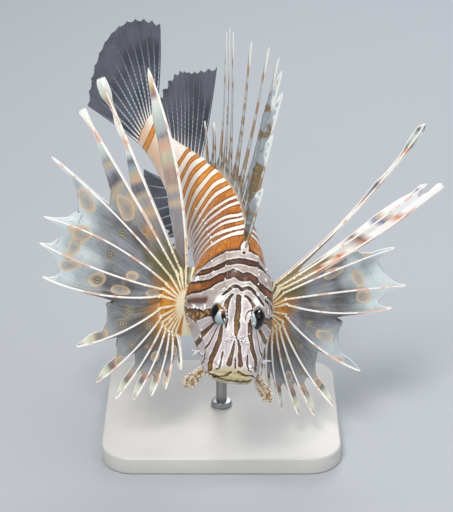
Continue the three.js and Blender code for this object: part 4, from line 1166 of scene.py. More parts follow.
def mark_places(bm, rays, marks, name):
    """Keeps on each vertex how far it lies from the nearest mark, in shares of the mark's size."""
    verts = list(bm.verts)
    points = np.array([vert.co[:] for vert in verts])
    best, x, y = (np.full(len(verts), value) for value in (9.0, 9.0, 9.0))
    for place, t, long, wide, turn in marks:
        i, share = int(place), place - int(place)
        after = min(i + 1, len(rays) - 1)
        centre = (rays[i].point(t) * (1 - share) + rays[after].point(t) * share)[0]
        along = unit(rays[i].along(t) * (1 - share) + rays[after].along(t) * share)[0]
        across = rays[after].point(t)[0] - rays[i].point(t)[0]
        across = unit(across - along * np.dot(across, along))
        cos, sin = math.cos(math.radians(turn)), math.sin(math.radians(turn))
        u = (points - centre) @ (along * cos + across * sin) / long
        v = (points - centre) @ (across * cos - along * sin) / wide
        far = np.hypot(u, v)
        near = far < best
        best[near], x[near], y[near] = far[near], u[near], v[near]
    note(bm, verts, **{name + "_x": x, name + "_y": y, name + "_far": ease(best, 1.3, 1.6)})


def pectoral_fins(finishes, flesh_finish):
    """Both pectoral fins with their fleshy bases."""
    for side, rows in (("right", RIGHT_RAYS), ("left", LEFT_RAYS)):
        rays, heart = pectoral_rays(side, rows)
        _, out, up, forward = pectoral_frame(side)
        bm = fresh(FIN_NUMBERS)
        fin_sheet(bm, rays, [row[5:] for row in rows[:-1]], rings=90, web_cells=8, ray_cells=3,
                  billow=forward * -0.16, ragged=0.03)
        spots = [(place, t, 0.85 * size, 0.85 * size, 0) for place, t, size in EYE_SPOTS[side]]
        mark_places(bm, rays, spots, "dot")
        mark_places(bm, rays, RINGS[side], "ring")
        piece(f"pectoral_membrane_{side}", bm, finishes[side], (f"pectoral_fin_{side}",))
        pectoral_flesh(side, rays, heart, out, up, forward, flesh_finish)


def pectoral_flesh(side, rays, heart, out, up, forward, finish):
    """The fleshy base of a pectoral fin, which runs out along the rays, with pale knobs on their roots."""
    rise = FLESH_PLACE[side][2]
    bm = fresh(FLESH_NUMBERS)
    bmesh.ops.create_uvsphere(bm, u_segments=240, v_segments=48, radius=1)
    verts = list(bm.verts)
    flat = np.array([vert.co[:] for vert in verts])
    turn = np.arctan2(flat[:, 1], flat[:, 0])
    share = np.hypot(flat[:, 0], flat[:, 1])
    roots = np.array([math.atan2(np.dot(ray.root - heart, up) / rise,
                                 np.dot(ray.root - heart, out) / FLESH_REACH) for ray in rays])
    gap = np.abs(turn[:, None] - roots[None, :]).min(1)
    ridge = np.exp(-(gap / 0.06) ** 2) * ease(share, 0.35, 0.8)
    spread = 1 + (0.1 * np.exp(-(gap / 0.05) ** 2) - 0.06) * ease(share, 0.6, 1.0)
    thick = np.sign(flat[:, 2]) * (1 - share ** 2) * (FLESH_THICK + 0.4) + flat[:, 2] * 0.6 * ridge
    flat = flat * spread[:, None]
    points = heart + flat[:, :1] * FLESH_REACH * out + flat[:, 1:2] * rise * up + thick[:, None] * forward
    note(bm, verts, turn=gap, share=share, high=flat[:, 1])
    move_to(verts, points)
    rng = np.random.default_rng(7)
    for ray in rays:
        for t in (0.01, 0.05, 0.1, 0.16):
            t = t + rng.uniform(-0.02, 0.02)
            size = rng.uniform(0.3, 0.65)
            knob = bmesh.ops.create_icosphere(bm, subdivisions=2, radius=size)["verts"]
            where = ray.point(t)[0] + forward * (1.1 - 2 * t) + up * rng.uniform(-0.5, 0.5)
            bmesh.ops.translate(bm, vec=Vector(where), verts=knob)
            note(bm, knob, knob=1.0)
    piece(f"pectoral_base_{side}", bm, finish, ())


PELVIC_RAYS = 6
PELVIC_SPLAY = math.radians(24)


def pelvic_fins(finish):
    """Both pelvic fins: a spine and five rays that trail below the belly."""
    for side, sign in SIDES.items():
        rays = []
        for i in range(PELVIC_RAYS):
            t = i / (PELVIC_RAYS - 1)
            lean = math.radians(8 + 40 * t)
            root = np.array([sign * 5, 62 + 6 * t, -27])
            way = unit(np.array([sign * math.sin(PELVIC_SPLAY), 0.75 * (1.1 - math.cos(lean)) + 0.6,
                                 -math.cos(PELVIC_SPLAY) * math.cos(lean)]))
            tip = root + way * (along_three((32, 52, 38), t) + 4)
            widths = {"half": 0.85, "foot": 0.75} if i == 0 else {"half": 0.55, "foot": 0.55}
            rays.append(Ray(root, tip, (sign * 2, -1, 0), **widths))
        bm = fresh(FIN_NUMBERS)
        fin_sheet(bm, rays, [(0.88, 0.4)] * (PELVIC_RAYS - 1), rings=40, web_cells=5, ray_cells=3,
                  ragged=0.05, billow=np.array([sign * 0.1, 0, 0]))
        piece(f"pelvic_membrane_{side}", bm, finish, (f"pelvic_fin_{side}",))


TENTACLE_REACH = {"right": (-9, -2, -15.5), "left": (12.5, -3, -17)}
LEAF = [(0, 0.8), (0.15, 1.5), (0.4, 2.2), (0.7, 2.7), (0.88, 2.3), (1, 0.5)]


def mouth_tentacles(finish):
    """A fringed leaf at each corner of the mouth."""
    rng = np.random.default_rng(3)
    for side, sign in SIDES.items():
        root = np.array([sign * 12.0, 9.5, -6.6])
        along = np.array(TENTACLE_REACH[side], float)
        wide = unit(np.cross(along, [0, -1, 1]))
        bm = fresh(FIN_NUMBERS)
        stem = Ray(root, root + along, (0, -0.4, 0), half=0.6, foot=0.6, above=LEAF, below=LEAF)
        fin_sheet(bm, [stem], [], rings=60, web_cells=5, ray_cells=3, membrane=0.3, plane=wide, ragged=0.5)
        made = []
        for k in range(11):
            t = 0.16 + 0.08 * k
            edge = 1 if k % 2 else -1
            start = stem.point(t)[0] + wide * edge * float(np.interp(t, *np.array(LEAF).T))
            length = rng.uniform(0.5, 1.3) * (0.7 + 0.6 * t)
            lean = wide * edge + unit(along) * rng.uniform(0.4, 1.2)
            lean = unit(lean + np.array([0, rng.uniform(-0.5, 0.5), 0]))
            path = smooth_line([start, start + lean * length * 0.5 + (0, 0, 0.2), start + lean * length], 3)
            made += tube(bm, path, [0.45, 0.42, 0.2], 7)
        note(bm, made, rim=0.2, reach=0.5)
        piece(f"mouth_leaf_{side}", bm, finish, (f"mouth_tentacle_{side}",))


# Finishes

def skin_finish(colours):
    """Banded skin: brown bands with dark edges on a pale ground, with fine scales."""
    make = Finish("banded_skin", Roughness=0.42, Coat_Weight=0.3, Coat_Roughness=0.22, Subsurface_Weight=0.08,
                  Subsurface_Scale=0.002)
    where = make.place()
    gap, along, turn = make.attribute("brown_gap"), make.attribute("along"), make.attribute("turn")
    grain, fine = make.noise(where, 1.1, 3), make.noise(where, 3.5, 2)
    blotch, wave = make.noise(where, 0.22, 3), make.noise(where, 0.4, 2)
    streak = make.noise(make.stretched(where, 0.5, 1.6, 0.5), 1.2, 4)
    snout, rear, stalk = along.step(0.38, 0.26), along.step(0.555, 0.6), along.step(1.0, 1.25)
    side = turn.step(0.28, 0.6)

    # The cheek's band, whose rear edge is a curve, wavers more than the others
    past = turn - 0.5
    before_edge = (along - (past * past).scaled(0.9, 0.37)).step(0.01, -0.02)
    cheek = turn.step(0.4, 0.55) * before_edge * along.step(0.24, 0.28)
    wobble = (wave - 0.5).scaled(cheek.blend(0.9, 3.4), grain.scaled(0.5, gap - 0.25))

    band = side.pick(colours.nape_bands, cheek.pick("a05a16", "4c2b0f"))
    band = rear.pick(snout.pick(band, "5c3a14"), stalk.pick("c4741a", colours.flank_bands))
    dusk = rear.pick(snout.pick("3a1806", "4a2c0c"), stalk.pick("94500e", "c47216"))
    light = rear.pick(snout.pick(side.pick("7c4210", "cc8430"), "967132"), "f0a648")
    edge = rear.pick("210c03", stalk.pick("6a3206", "9a5410"))
    patch = make.noise(where, 0.32, 1).step(0.53, 0.59)
    hatch = make.streaks(turn * 62.0, along * 22.0, 2).step(0.5, 0.62) * (rear * along.step(1.15, 0.9))
    dark = (wobble - rear.blend(snout.blend(-1.7, -0.95), -1.5)).step(0.0, 1.0)
    dark = dark * along.step(0.06, 0.02).blend(1.0, 0.5)
    band = make.layers(
        band, (streak.step(0.42, 0.7) * 0.7, dusk), (blotch.step(0.48, 0.68) * 0.6, light),
        (cheek * patch * 0.9, "b08a50"), (hatch * 0.6, "70360a"), (dark * rear.blend(0.97, 0.85), edge))

    strand = make.streaks(turn * 45.0, along * 9.0, 3)
    contour = (wave.scaled(1.5, gap) * 6.5).sum("SINE")
    pale = (wave - 0.5).scaled(1.6, gap).step(1.2, 0.3) * blotch.step(0.36, 0.6).blend(0.35, 1.0)
    peach = along.step(1.55, 1.75) * turn.step(0.35, 1.0)
    ground = make.layers(
        snout.pick("a3938a", "b5abaf"), (strand.step(0.55, 0.7) * snout.blend(0.25, 0.7), "eae4e5"),
        (strand.step(0.45, 0.3) * snout.blend(0.15, 0.55), "8c7f80"),
        (contour.step(0.3, 0.9) * 0.25, "d6cdc9"),
        (pale, "ebe3dc"), (fine.step(0.42, 0.7) * 0.2, "877b7f"), (blotch.step(0.5, 0.66) * 0.4, "c9bfbf"),
        # Pale lines of the trunk; then painted light: they turn whiter towards the back, where the light
        # falls from above
        (rear * 0.9, stalk.pick(colours.pale_lines, "f9ead9")), (rear * turn.step(0.75, 0.1), "fff3e6"),
        (peach * 0.7, "e7b482"), (make.attribute("cream"), "b0a57e"),
        (make.attribute("smear") * grain.blend(0.8, 1.0), "54260a"),
        # White where the bright number is set: painted highlights on the head, and the own white of the small
        # spines and threads
        (make.attribute("bright").step(0.1, 0.45), "fbf9f6"), (make.attribute("belly") * 0.6, "eee6dc"))
    relief = make.cells(where, 1.1, random=0.8).scaled(-0.6, fine * 0.6)
    return make.done(Base_Color=wobble.step(0.12, -0.12).pick(ground, band),
                     Normal=make.bump(relief, 0.4, 0.0004),
                     Roughness=fine.scaled(0.2, 0.3))


def far_from_middle(x, y):
    """Distance from the middle of a mark, from how far a point lies from it each way."""
    return (x * x + y * y).sum("SQRT")


def eye_finish():
    """Black pupil, gold-brown iris above, a pale blue bar below and a red rim towards the nose."""
    make = Finish("eye", Roughness=0.12, Specular_IOR_Level=0.2, Coat_Weight=0.22, Coat_Roughness=0.03)
    front, nose, top = (make.attribute(name) for name in ("to_front", "to_nose", "to_top"))
    angle, far = top.sum("ARCTAN2", nose), far_from_middle(nose, top)
    streak = make.noise(make.wire("CombineXYZ", {0: angle * 6.0, 1: far * 2.0}), 1.6, 3)
    drop = 0.5 - top
    bar_edge = abs(nose - drop.scaled(0.5, 0.44)) - drop.scaled(0.3, 0.08)
    bar = bar_edge.step(0.04, -0.04) * drop.step(0.0, 0.05)
    bright = streak.scaled(0.5, drop * -0.3).step(0.1, 0.3)
    red = angle.step(0.66, 0.74) * angle.step(1.0, 0.9) * far.step(0.76, 0.82)
    rim = far.step(0.40, 0.44) * far.step(0.52, 0.46)
    skin = make.layers(
        streak.pick("3a2408", "b08a3c"), (top.step(0.62, 0.4), "1e120a"),
        (bar, bright.pick("a3b3b6", "f0f4f6")),
        (red, "7c3217"), (rim * 0.7, "1c0f08"), (front.step(-0.05, -0.2), "120b06"),
        (far.step(0.46, 0.43) * front.step(0.0, 0.1), "010102"))
    return make.done(Base_Color=skin)


def fin_marks(make, *names):
    """The numbers that a fin's finish reads from its mesh."""
    return [make.attribute(name) for name in names]


def distance_to_mark(make, name):
    """How far a point lies from the nearest mark, in shares of the mark's size."""
    x, y, far = fin_marks(make, name + "_x", name + "_y", name + "_far")
    return far.scaled(6.0, far_from_middle(x, y))


# Colours along the free ribbons of each pectoral fin, by ray, and along its lower rays
RIBBON_COLOURS = {
    "right": [
        [(0, "5f5a38"), (0.08, "7a7072"), (0.2, "8b8686"), (0.29, "85848a"), (0.32, "bfa98c"),
         (0.35, "8a8b92"), (0.39, "bba68c"), (0.42, "9c8678"), (0.48, "a3877a"), (0.52, "b8ad90"),
         (0.56, "bdb7a0"), (0.6, "cfa48c"), (0.64, "b89c8e"), (0.66, "7f8186"), (0.69, "a7b0ac"),
         (0.75, "c0ccc6"), (0.82, "e2e6dc"), (0.85, "957a74"), (0.88, "a98a72"), (0.9, "cdb274"),
         (0.94, "ece6d4"), (1, "f6f4ee")],
        [(0, "55512a"), (0.14, "5c5838"), (0.2, "767270"), (0.27, "8a827c"), (0.3, "b99f7e"),
         (0.34, "a6957c"), (0.37, "8f8d90"), (0.4, "aa9a84"), (0.43, "54545e"), (0.46, "5f5e68"),
         (0.48, "c09c84"), (0.51, "b3a688"), (0.54, "93a0a8"), (0.58, "62666e"), (0.62, "cdd6d2"),
         (0.665, "d4865a"), (0.7, "dfe3dc"), (0.78, "e8ebe4"), (0.83, "dc9468"), (0.86, "a07c70"),
         (0.89, "b5a07c"), (0.92, "c2cbbc"), (0.97, "d8e0d8"), (1, "f6f8f8")],
        [(0, "5d5830"), (0.12, "565229"), (0.2, "6c6862"), (0.27, "b28a62"), (0.31, "7c7876"),
         (0.38, "8c8a8a"), (0.42, "b39c88"), (0.46, "bda48e"), (0.49, "a9a18c"), (0.515, "8a8c90"),
         (0.54, "aca088"), (0.57, "585860"), (0.6, "66666e"), (0.63, "9a9ea2"), (0.66, "b8a98c"),
         (0.69, "8e989c"), (0.72, "b4bcba"), (0.78, "cbd4d0"), (0.83, "dc8e62"), (0.87, "d8a484"),
         (0.91, "ece6cc"), (0.96, "f2f2ee"), (1, "e9eef4")],
    ],
    "left": [
        [(0, "8f7a48"), (0.2, "7d6a50"), (0.32, "7a5a44"), (0.4, "d8cfc4"), (0.48, "e6e2da"),
         (0.56, "b98a68"), (0.6, "8c9098"), (0.66, "55565c"), (0.7, "ddd6c8"), (0.78, "e6e0d2"),
         (0.83, "c78a62"), (0.87, "7c7a78"), (0.9, "a9b0aa"), (0.95, "c9d2cc"), (0.98, "5a5a5c"),
         (1, "e8eaea")],
        [(0, "8f7a48"), (0.2, "9c8a60"), (0.28, "8a6440"), (0.34, "ece8de"), (0.42, "e8e4da"),
         (0.5, "7c5c48"), (0.55, "eeeae4"), (0.62, "f4f2ee"), (0.66, "8a84a0"), (0.7, "d0b8a0"),
         (0.74, "f6f6f4"), (0.9, "f6f6f6"), (0.94, "9a94a8"), (0.97, "f2f2f2"), (1, "fafafa")],
        [(0, "8f7a48"), (0.2, "a8946a"), (0.25, "a4602c"), (0.3, "efe8d8"), (0.36, "c8743c"),
         (0.42, "f0ece4"), (0.52, "9c5a38"), (0.58, "f4f2ee"), (0.7, "f2e8e0"), (0.75, "d88a60"),
         (0.8, "f6f4f2"), (0.94, "f8f8f8"), (1, "fafafa")],
    ],
}
LOWER_COLOURS = [(0, "d8c690"), (0.05, "b9792a"), (0.13, "855a24"), (0.22, "5a4e38"), (0.35, "504e4e"),
                 (0.5, "66696c"), (0.62, "8e9294"), (0.68, "a89484"), (0.74, "8c6a60"), (0.78, "6e6862"),
                 (0.82, "b8bea8"), (0.9, "dde0c8"), (0.95, "b9b8a8"), (1, "2c2628")]
# Colours from the middle of a ring and of an eye spot out to its edge
RING_COLOURS = [(0, "7c7a78"), (0.35, "9a958c"), (0.55, "a39778"), (0.7, "c9a084"), (0.82, "d2b692"),
                (0.95, "c4b794"), (1, "c4b794")]
SPOT_COLOURS = [(0, "0c0b0b"), (0.17, "0c0b0b"), (0.22, "d6cfb4"), (0.3, "8a8468"), (0.4, "544c3a"),
                (0.6, "85785a"), (1, "8a7d5c")]


def pectoral_finish(side):
    """Thin membrane: banded ribbons, mottled panels with rings and eye spots, and white rays."""
    make = Finish(f"pectoral_membrane_{side}", Roughness=0.35)
    where = make.place()
    crest, reach, rim, run, strip = fin_marks(make, "crest", "reach", "rim", "run", "side")
    place, number = fin_marks(make, "ray_place", "ray_number")
    soft, mottle = make.noise(where, 0.06, 2, 0.4), make.noise(where, 0.2, 2)
    drift = soft - 0.5
    drifted = strip.scaled(-0.012, drift.scaled(0.07, reach))

    dark = soft.step(0.35, 0.65).pick("4e4c4e", "74797f")
    dark = make.layers(dark, (mottle.step(0.5, 0.8) * 0.3, "9aa0a2"))
    # Painted shade: thin darker lines on the pale panels, as the shade of fine wrinkles in the membrane
    fold_shade = abs(mottle.scaled(9.0, run * 5.0).sum("SINE"))
    pale = soft.step(0.3, 0.7).pick("a5b2b6", "cfd9da")
    pale = make.layers(pale, (fold_shade.step(0.16, 0.02) * 0.35, "7d868a"))
    panel = drift.scaled(0.3, drifted).step(0.4, 0.85).pick(dark, pale)
    upper_root = drifted.step(0.3, 0.12).pick(panel, "58531f")
    lower_root = drifted.step(0.15, 0.05).pick(panel, "8a5c20")
    panel = place.step(3.2, 4.2).pick(upper_root, lower_root)

    around = (make.noise(where, 0.13, 0) - 0.5).scaled(1.4, distance_to_mark(make, "ring"))
    from_spot = distance_to_mark(make, "dot")
    grain = make.streaks(place * 14.0, run * 9.0, 4)
    segment = make.streaks(run * 11.0, number * 3.7, 1)
    edge = crest.step(0.02, 0.15) * segment.step(0.42, 0.5)
    ray = make.layers("f3f0ea", (segment.step(0.56, 0.62) * 0.6, "d58a5c"), (reach.step(0.2, 0.04), "e6dcb4"))
    ribbons = [(number.sum("LESS_THAN", k + 0.5), drifted.ramp(RIBBON_COLOURS[side][k])) for k in (2, 1, 0)]
    skin = make.layers(
        panel, (number.step(6.4, 6.6), drifted.ramp(LOWER_COLOURS)), *ribbons,
        (around.step(1.1, 0.85) * 0.7, around.ramp(RING_COLOURS)),
        (from_spot.step(0.95, 0.5) * 0.8, from_spot.ramp(SPOT_COLOURS)),
        # White line along the free edges: a painted highlight of the edge
        (grain.step(0.35, 0.75) * 0.12, "ece9e2"), (rim.step(0.45, 0.15), "f6f6f2"),
        (edge * 0.45, "dfa988"), (crest.step(0.12, 0.4), ray))
    alpha = reach.step(0.45, 0.8).blend(0.93, 0.84).most(crest.step(0.1, 0.4), rim.step(0.8, 0.2))
    return make.done(Base_Color=skin, Alpha=alpha, Normal=make.bump(grain, 0.3, 0.0006))


def dusky_finish(colours):
    """Smoky membrane with pale jointed rays and dark specks."""
    make = Finish("dusky_membrane", Roughness=0.4)
    where = make.place()
    crest, reach, run = fin_marks(make, "crest", "reach", "run")
    web = make.noise(where, 0.06, 2, 0.4).step(0.35, 0.65).pick(colours.dusky_web, "5a5d68")
    joint = (run * 240.0).sum("SINE").step(0.35, 0.8) * 0.75
    ray = make.layers("aab2b8", (joint, "4c4f59"), (reach.step(0.35, 0.85), "60646e"))
    root = (reach - crest.scaled(0.2, 0.06)).step(0.04, -0.04)
    skin = make.layers(web, (crest.step(0.02, 0.25), ray),
                       (make.cells(where, 0.35, random=1.0).step(0.16, 0.1), "1b1a1e"), (root, "f2e9df"))
    alpha = reach.step(0.3, 1.0).blend(0.95, 0.72).most(crest.step(0.1, 0.5) * 0.97)
    return make.done(Base_Color=skin, Alpha=alpha, Normal=make.bump(make.noise(where, 1.2, 3), 0.2, 0.0004))


def spine_finish():
    """Pale spines ringed with tan, with smoky blotched flags and white lance tips."""
    make = Finish("dorsal_spine", Roughness=0.35)
    where = make.place()
    crest, reach, rim, run = fin_marks(make, "crest", "reach", "rim", "run")
    place, number = fin_marks(make, "ray_place", "ray_number")
    fine = make.noise(where, 1.2, 3)
    front = number.sum("LESS_THAN", FLAGGED_SPINES - 0.5)
    ring = make.streaks(run * 15.0, number * 5.3, 2)
    band = ring.step(0.47, 0.58)
    rod = make.layers("c6ccc6", (band * 0.85, "ac7c40"), (fine.step(0.45, 0.75) * 0.25, "8f9490"))
    cloud = make.noise(where, 0.12, 0).scaled(0.5, ring * 0.5).step(0.5, 0.58)
    low = run.step(0.34, 0.12) * make.noise(where, 0.3, 1).step(0.42, 0.55)
    flag = front.pick((band * 0.8).pick("a9b0b2", "8e6c3c"), cloud.pick("a3abb2", "7d6538"))
    flag = make.layers(flag, (fine.step(0.4, 0.7) * 0.2, "c6ccd0"), (low * 0.75, "5f482c"))

    lance = (place - number).scaled(0.3, front.blend(0.9, 0.78) + -0.04)
    tip = (reach - lance).step(-0.03, 0.03)
    glass = make.noise(where, 0.22, 1).step(0.4, 0.62).pick("a9b5be", "e3e8e6")
    glass = crest.step(0.05, 0.3).most(rim.step(0.9, 0.3), 1.0 - front).pick(glass, "eef0ea")
    skin = make.layers(flag, (crest.step(0.1, 0.35), rod), (tip, glass),
                       (crest.step(0.5, 0.8) * (tip * 0.35), "b9b0a0"), (reach.step(0.1, 0.02), "ead9c8"))
    alpha = band.blend(0.8, 0.92).most(crest.step(0.05, 0.3), tip)
    return make.done(Base_Color=skin, Alpha=alpha, Normal=make.bump(fine, 0.2, 0.0003))


def flesh_finish():
    """Cream flesh with orange-brown wedges between the rays, olive towards the top, and white knobs."""
    make = Finish("pectoral_flesh", Roughness=0.4, Coat_Weight=0.2, Coat_Roughness=0.3)
    where = make.place()
    gap, share, high, knob = (make.attribute(name) for name in FLESH_NUMBERS)
    soft, fine = make.noise(where, 0.3, 3), make.noise(where, 1.6, 3)
    wedge = soft.scaled(0.14, gap).step(0.1, 0.13) * share.step(0.25, 0.45) * gap.step(0.26, 0.19)
    deep = high.step(0.1, 0.6).pick(soft.step(0.4, 0.6).pick("a8620f", "c98a30"), "5c5822")
    skin = make.layers(fine.step(0.3, 0.7).pick("e8dfc6", "dccda4"), (wedge, deep), (knob, "fbf9f6"))
    return make.done(Base_Color=skin, Normal=make.bump(fine, 0.3, 0.0005))


def leaf_finish():
    """Mottled leaf with a dark double line and pale fringes."""
    make = Finish("mouth_leaf", Roughness=0.5)
    where = make.place()
    crest, rim, strip = fin_marks(make, "crest", "rim", "side")
    speck, patch = make.noise(where, 1.6, 3), make.noise(where, 0.55, 2)
    line = abs(crest - 0.35).step(0.3, 0.2) * abs(strip).step(0.05, 0.2)
    skin = make.layers(
        patch.step(0.45, 0.58).pick("d8c9ae", "a07a4c"), (speck.step(0.52, 0.7) * 0.6, "4a2c16"),
        (line, "2b160c"), (rim.step(0.4, 0.1), "f1ece2"))
    return make.done(Base_Color=skin, Normal=make.bump(speck, 0.4, 0.0004))


def paint_finish(colours):
    """Satin paint of the stand's base, with the faint unevenness of a sprayed coat."""
    make = Finish("stand_paint", Coat_Weight=0.1, Coat_Roughness=0.4)
    cloud = make.noise(make.place(), 0.03, 3)
    return make.done(Base_Color=cloud.pick(colours.base_shade, "bdbbb6"), Roughness=cloud.scaled(0.15, 0.38),
                     Normal=make.bump(make.noise(make.place(), 0.9, 2), 0.08, 0.0003))


def steel_finish():
    """Brushed steel of the stand's rod."""
    make = Finish("stand_steel", Metallic=1.0, Anisotropic=0.3)
    scratch = make.noise(make.stretched(make.place(), 1.0, 1.0, 0.06), 6.0, 4)
    return make.done(Base_Color=scratch.pick("8f9194", "b9bbbd"), Roughness=scratch.scaled(0.2, 0.22),
                     Normal=make.bump(scratch, 0.1, 0.0001))


# Stand

ROD_PLACE = 0.002
COLLAR_HEIGHT = 0.003


def bevel(bm, edges, width, parts):
    """Rounds edges off."""
    bmesh.ops.bevel(bm, geom=edges, offset=width, segments=parts, profile=0.5, affect="EDGES", material=-1)


def bar(bm, low_radius, top_radius, depth, middle):
    """A round upright bar below the belly."""
    made = bmesh.ops.create_cone(bm, cap_ends=True, segments=48, radius1=low_radius, radius2=top_radius,
                                 depth=depth)["verts"]
    bmesh.ops.translate(bm, vec=(0, ROD_PLACE, middle), verts=made)


def stand_base(sizes, finish):
    """A flat slab with rounded corners and a small bevel all round."""
    bm = bmesh.new()
    bmesh.ops.create_cube(bm, size=1)
    bmesh.ops.scale(bm, vec=(sizes.base_width, sizes.base_depth, sizes.base_thick), verts=bm.verts)
    bmesh.ops.translate(bm, vec=(0, 0, sizes.base_thick / 2), verts=bm.verts)
    upright = [edge for edge in bm.edges if abs(edge.verts[0].co.z - edge.verts[1].co.z) > 1e-4]
    bevel(bm, upright, sizes.base_corner, 14)
    rims = [edge for edge in bm.edges if abs(edge.verts[0].co.z - edge.verts[1].co.z) < 1e-6
            and len({round(face.normal.z, 3) for face in edge.link_faces}) > 1]
    bevel(bm, rims, sizes.base_bevel, 4)
    piece("stand_slab", bm, finish, ("stand_base",), in_stand=True)


def stand_rod(sizes, finish):
    """The rod that ends under the belly, with a low collar where it leaves the slab."""
    bm = bmesh.new()
    low = sizes.base_thick + 0.0003
    bar(bm, sizes.rod_radius, sizes.rod_radius, sizes.rod_top - low, (sizes.rod_top + low) / 2)
    bar(bm, sizes.rod_radius * 2, sizes.rod_radius * 1.8, COLLAR_HEIGHT, low + COLLAR_HEIGHT / 2)
    rims = [edge for edge in bm.edges if len(edge.link_faces) == 2
            and edge.link_faces[0].normal.angle(edge.link_faces[1].normal) > 1]
    bevel(bm, rims, 0.0004, 3)
    piece("stand_post", bm, finish, ("stand_rod",), in_stand=True)


# Stage

PHOTO_HEIGHT = 512
FOCAL_PIXELS = 1794.2
CAMERA_PLACE = (0.00281, -0.87899, 0.51329)
CAMERA_TILT = 25


def camera():
    """The photograph's viewing angle and framing."""
    data = bpy.data.cameras.new("camera")
    data.lens = FOCAL_PIXELS / PHOTO_HEIGHT * data.sensor_width
    data.clip_start, data.clip_end = 0.01, 100
    thing = bpy.data.objects.new("camera", data)
    thing.location = CAMERA_PLACE
    thing.rotation_euler = (math.radians(90 - CAMERA_TILT), 0, 0)
    bpy.context.scene.collection.objects.link(thing)
    bpy.context.scene.camera = thing


def area_light(name, place, target, size, power, tint):
    """A soft square light that looks at a point."""
    data = bpy.data.lights.new(name, "AREA")
    data.size, data.energy, data.color = size, power, tint
    thing = bpy.data.objects.new(name, data)
    thing.location = place
    thing.rotation_euler = (Vector(target) - Vector(place)).to_track_quat("-Z", "Y").to_euler()
    bpy.context.scene.collection.objects.link(thing)


def floor_and_light(studio):
    """A plain pale floor and soft studio light."""
    bm = bmesh.new()
    bmesh.ops.create_grid(bm, x_segments=8, y_segments=8, size=6)
    mesh = bpy.data.meshes.new("floor")
    bm.to_mesh(mesh)
    bm.free()
    make = Finish("floor", Roughness=0.7)
    cloud = make.noise(make.place(1.0), 2.0, 3)
    mesh.materials.append(make.done(Base_Color=cloud.pick(studio.floor_shade, studio.floor_shade * 0.96)))
    thing = bpy.data.objects.new("floor", mesh)
    bpy.context.scene.collection.objects.link(thing)
    bpy.context.scene.view_settings.view_transform = "Standard"
    middle = (0, 0, 0.13)
    area_light("key", (-0.3, -0.75, 1.25), middle, 0.45, studio.key_power, (1.0, 0.98, 0.95))
    area_light("fill", (0.95, -0.6, 0.7), middle, 0.9, studio.key_power * 0.25, (0.93, 0.96, 1.0))
    area_light("rim", (0.25, 0.95, 0.95), middle, 0.8, studio.key_power * 0.5, (0.95, 0.97, 1.0))
    world = bpy.data.worlds.new("studio")
    world.use_nodes = True
    world.node_tree.nodes["Background"].inputs["Color"].default_value = (0.9, 0.93, 1.0, 1.0)
    world.node_tree.nodes["Background"].inputs["Strength"].default_value = studio.sky
    bpy.context.scene.world = world


# Sizes and colours that a user would change

def length_property(name, description, default):
    """A length that a user can set."""
    return bpy.props.FloatProperty(name=name, description=description, default=default, unit="LENGTH")


def shade_property(name, description, text):
    """A colour that a user can pick."""
    return bpy.props.FloatVectorProperty(name=name, description=description, subtype="COLOR", size=3,
                                         default=colour(text)[:3])


class StandSizes(bpy.types.PropertyGroup):
    """Sizes of the display stand."""
    base_width: length_property("Base width", "Width of the slab", 0.13)
    base_depth: length_property("Base depth", "Depth of the slab", 0.112)
    base_thick: length_property("Base thickness", "Height of the slab", 0.01)
    base_corner: length_property("Corner", "Radius of the slab's corners", 0.018)
    base_bevel: length_property("Bevel", "Width of the slab's bevel", 0.0012)
    rod_radius: length_property("Rod radius", "Radius of the rod", 0.003)
    rod_top: length_property("Rod top", "Height at which the rod ends inside the belly", 0.084)


class FishColours(bpy.types.PropertyGroup):
    """Main colours of the fish and its stand."""
    flank_bands: shade_property("Flank bands", "Bands of the rear flank", "dd8f2e")
    nape_bands: shade_property("Nape bands", "Bands over the middle of the head", "57290a")
    pale_lines: shade_property("Pale lines", "Lines between the bands of the flank", "ecd6c6")
    dusky_web: shade_property("Dusky fins", "Darkest membrane of the tail, back and belly fins", "383c46")
    base_shade: shade_property("Base paint", "Colour of the slab", "d2d0cb")


class StudioSettings(bpy.types.PropertyGroup):
    """Light and floor."""
    floor_shade: shade_property("Floor", "Colour of the floor", "abafb3")
    key_power: bpy.props.FloatProperty(name="Key light", description="Power of the main light", default=16.0,
                                       unit="POWER")
    sky: bpy.props.FloatProperty(name="Sky", description="Strength of the light from all round", default=0.45)


GROUPS = {"lionfish_stand": StandSizes, "lionfish_colours": FishColours, "lionfish_studio": StudioSettings}
FINISHES = {}


def finish_of(name, builder):
    """A material, made once."""
    if name not in FINISHES:
        FINISHES[name] = builder()
    return FINISHES[name]


class AddSkin(bpy.types.Operator):
    """Makes the skin, the lids and the small spines and threads of the head"""
    bl_idname = "lionfish.skin"
    bl_label = "Skin and head details"
    bl_options = {"REGISTER", "UNDO"}

    def execute(self, context):
        finish = finish_of("skin", lambda: skin_finish(context.scene.lionfish_colours))
        skin_piece(finish)
        lids(finish)
        head_details(finish)
        return {"FINISHED"}


class AddEyes(bpy.types.Operator):
    """Makes both eyeballs"""
    bl_idname = "lionfish.eyes"
    bl_label = "Eyes"
    bl_options = {"REGISTER", "UNDO"}

    def execute(self, context):
        eyeballs(finish_of("eye", eye_finish))
        return {"FINISHED"}


class AddMouthLeaves(bpy.types.Operator):
    """Makes the fringed leaves at the corners of the mouth"""
    bl_idname = "lionfish.mouth_leaves"
    bl_label = "Mouth leaves"
    bl_options = {"REGISTER", "UNDO"}

    def execute(self, context):
        mouth_tentacles(finish_of("leaf", leaf_finish))
        return {"FINISHED"}


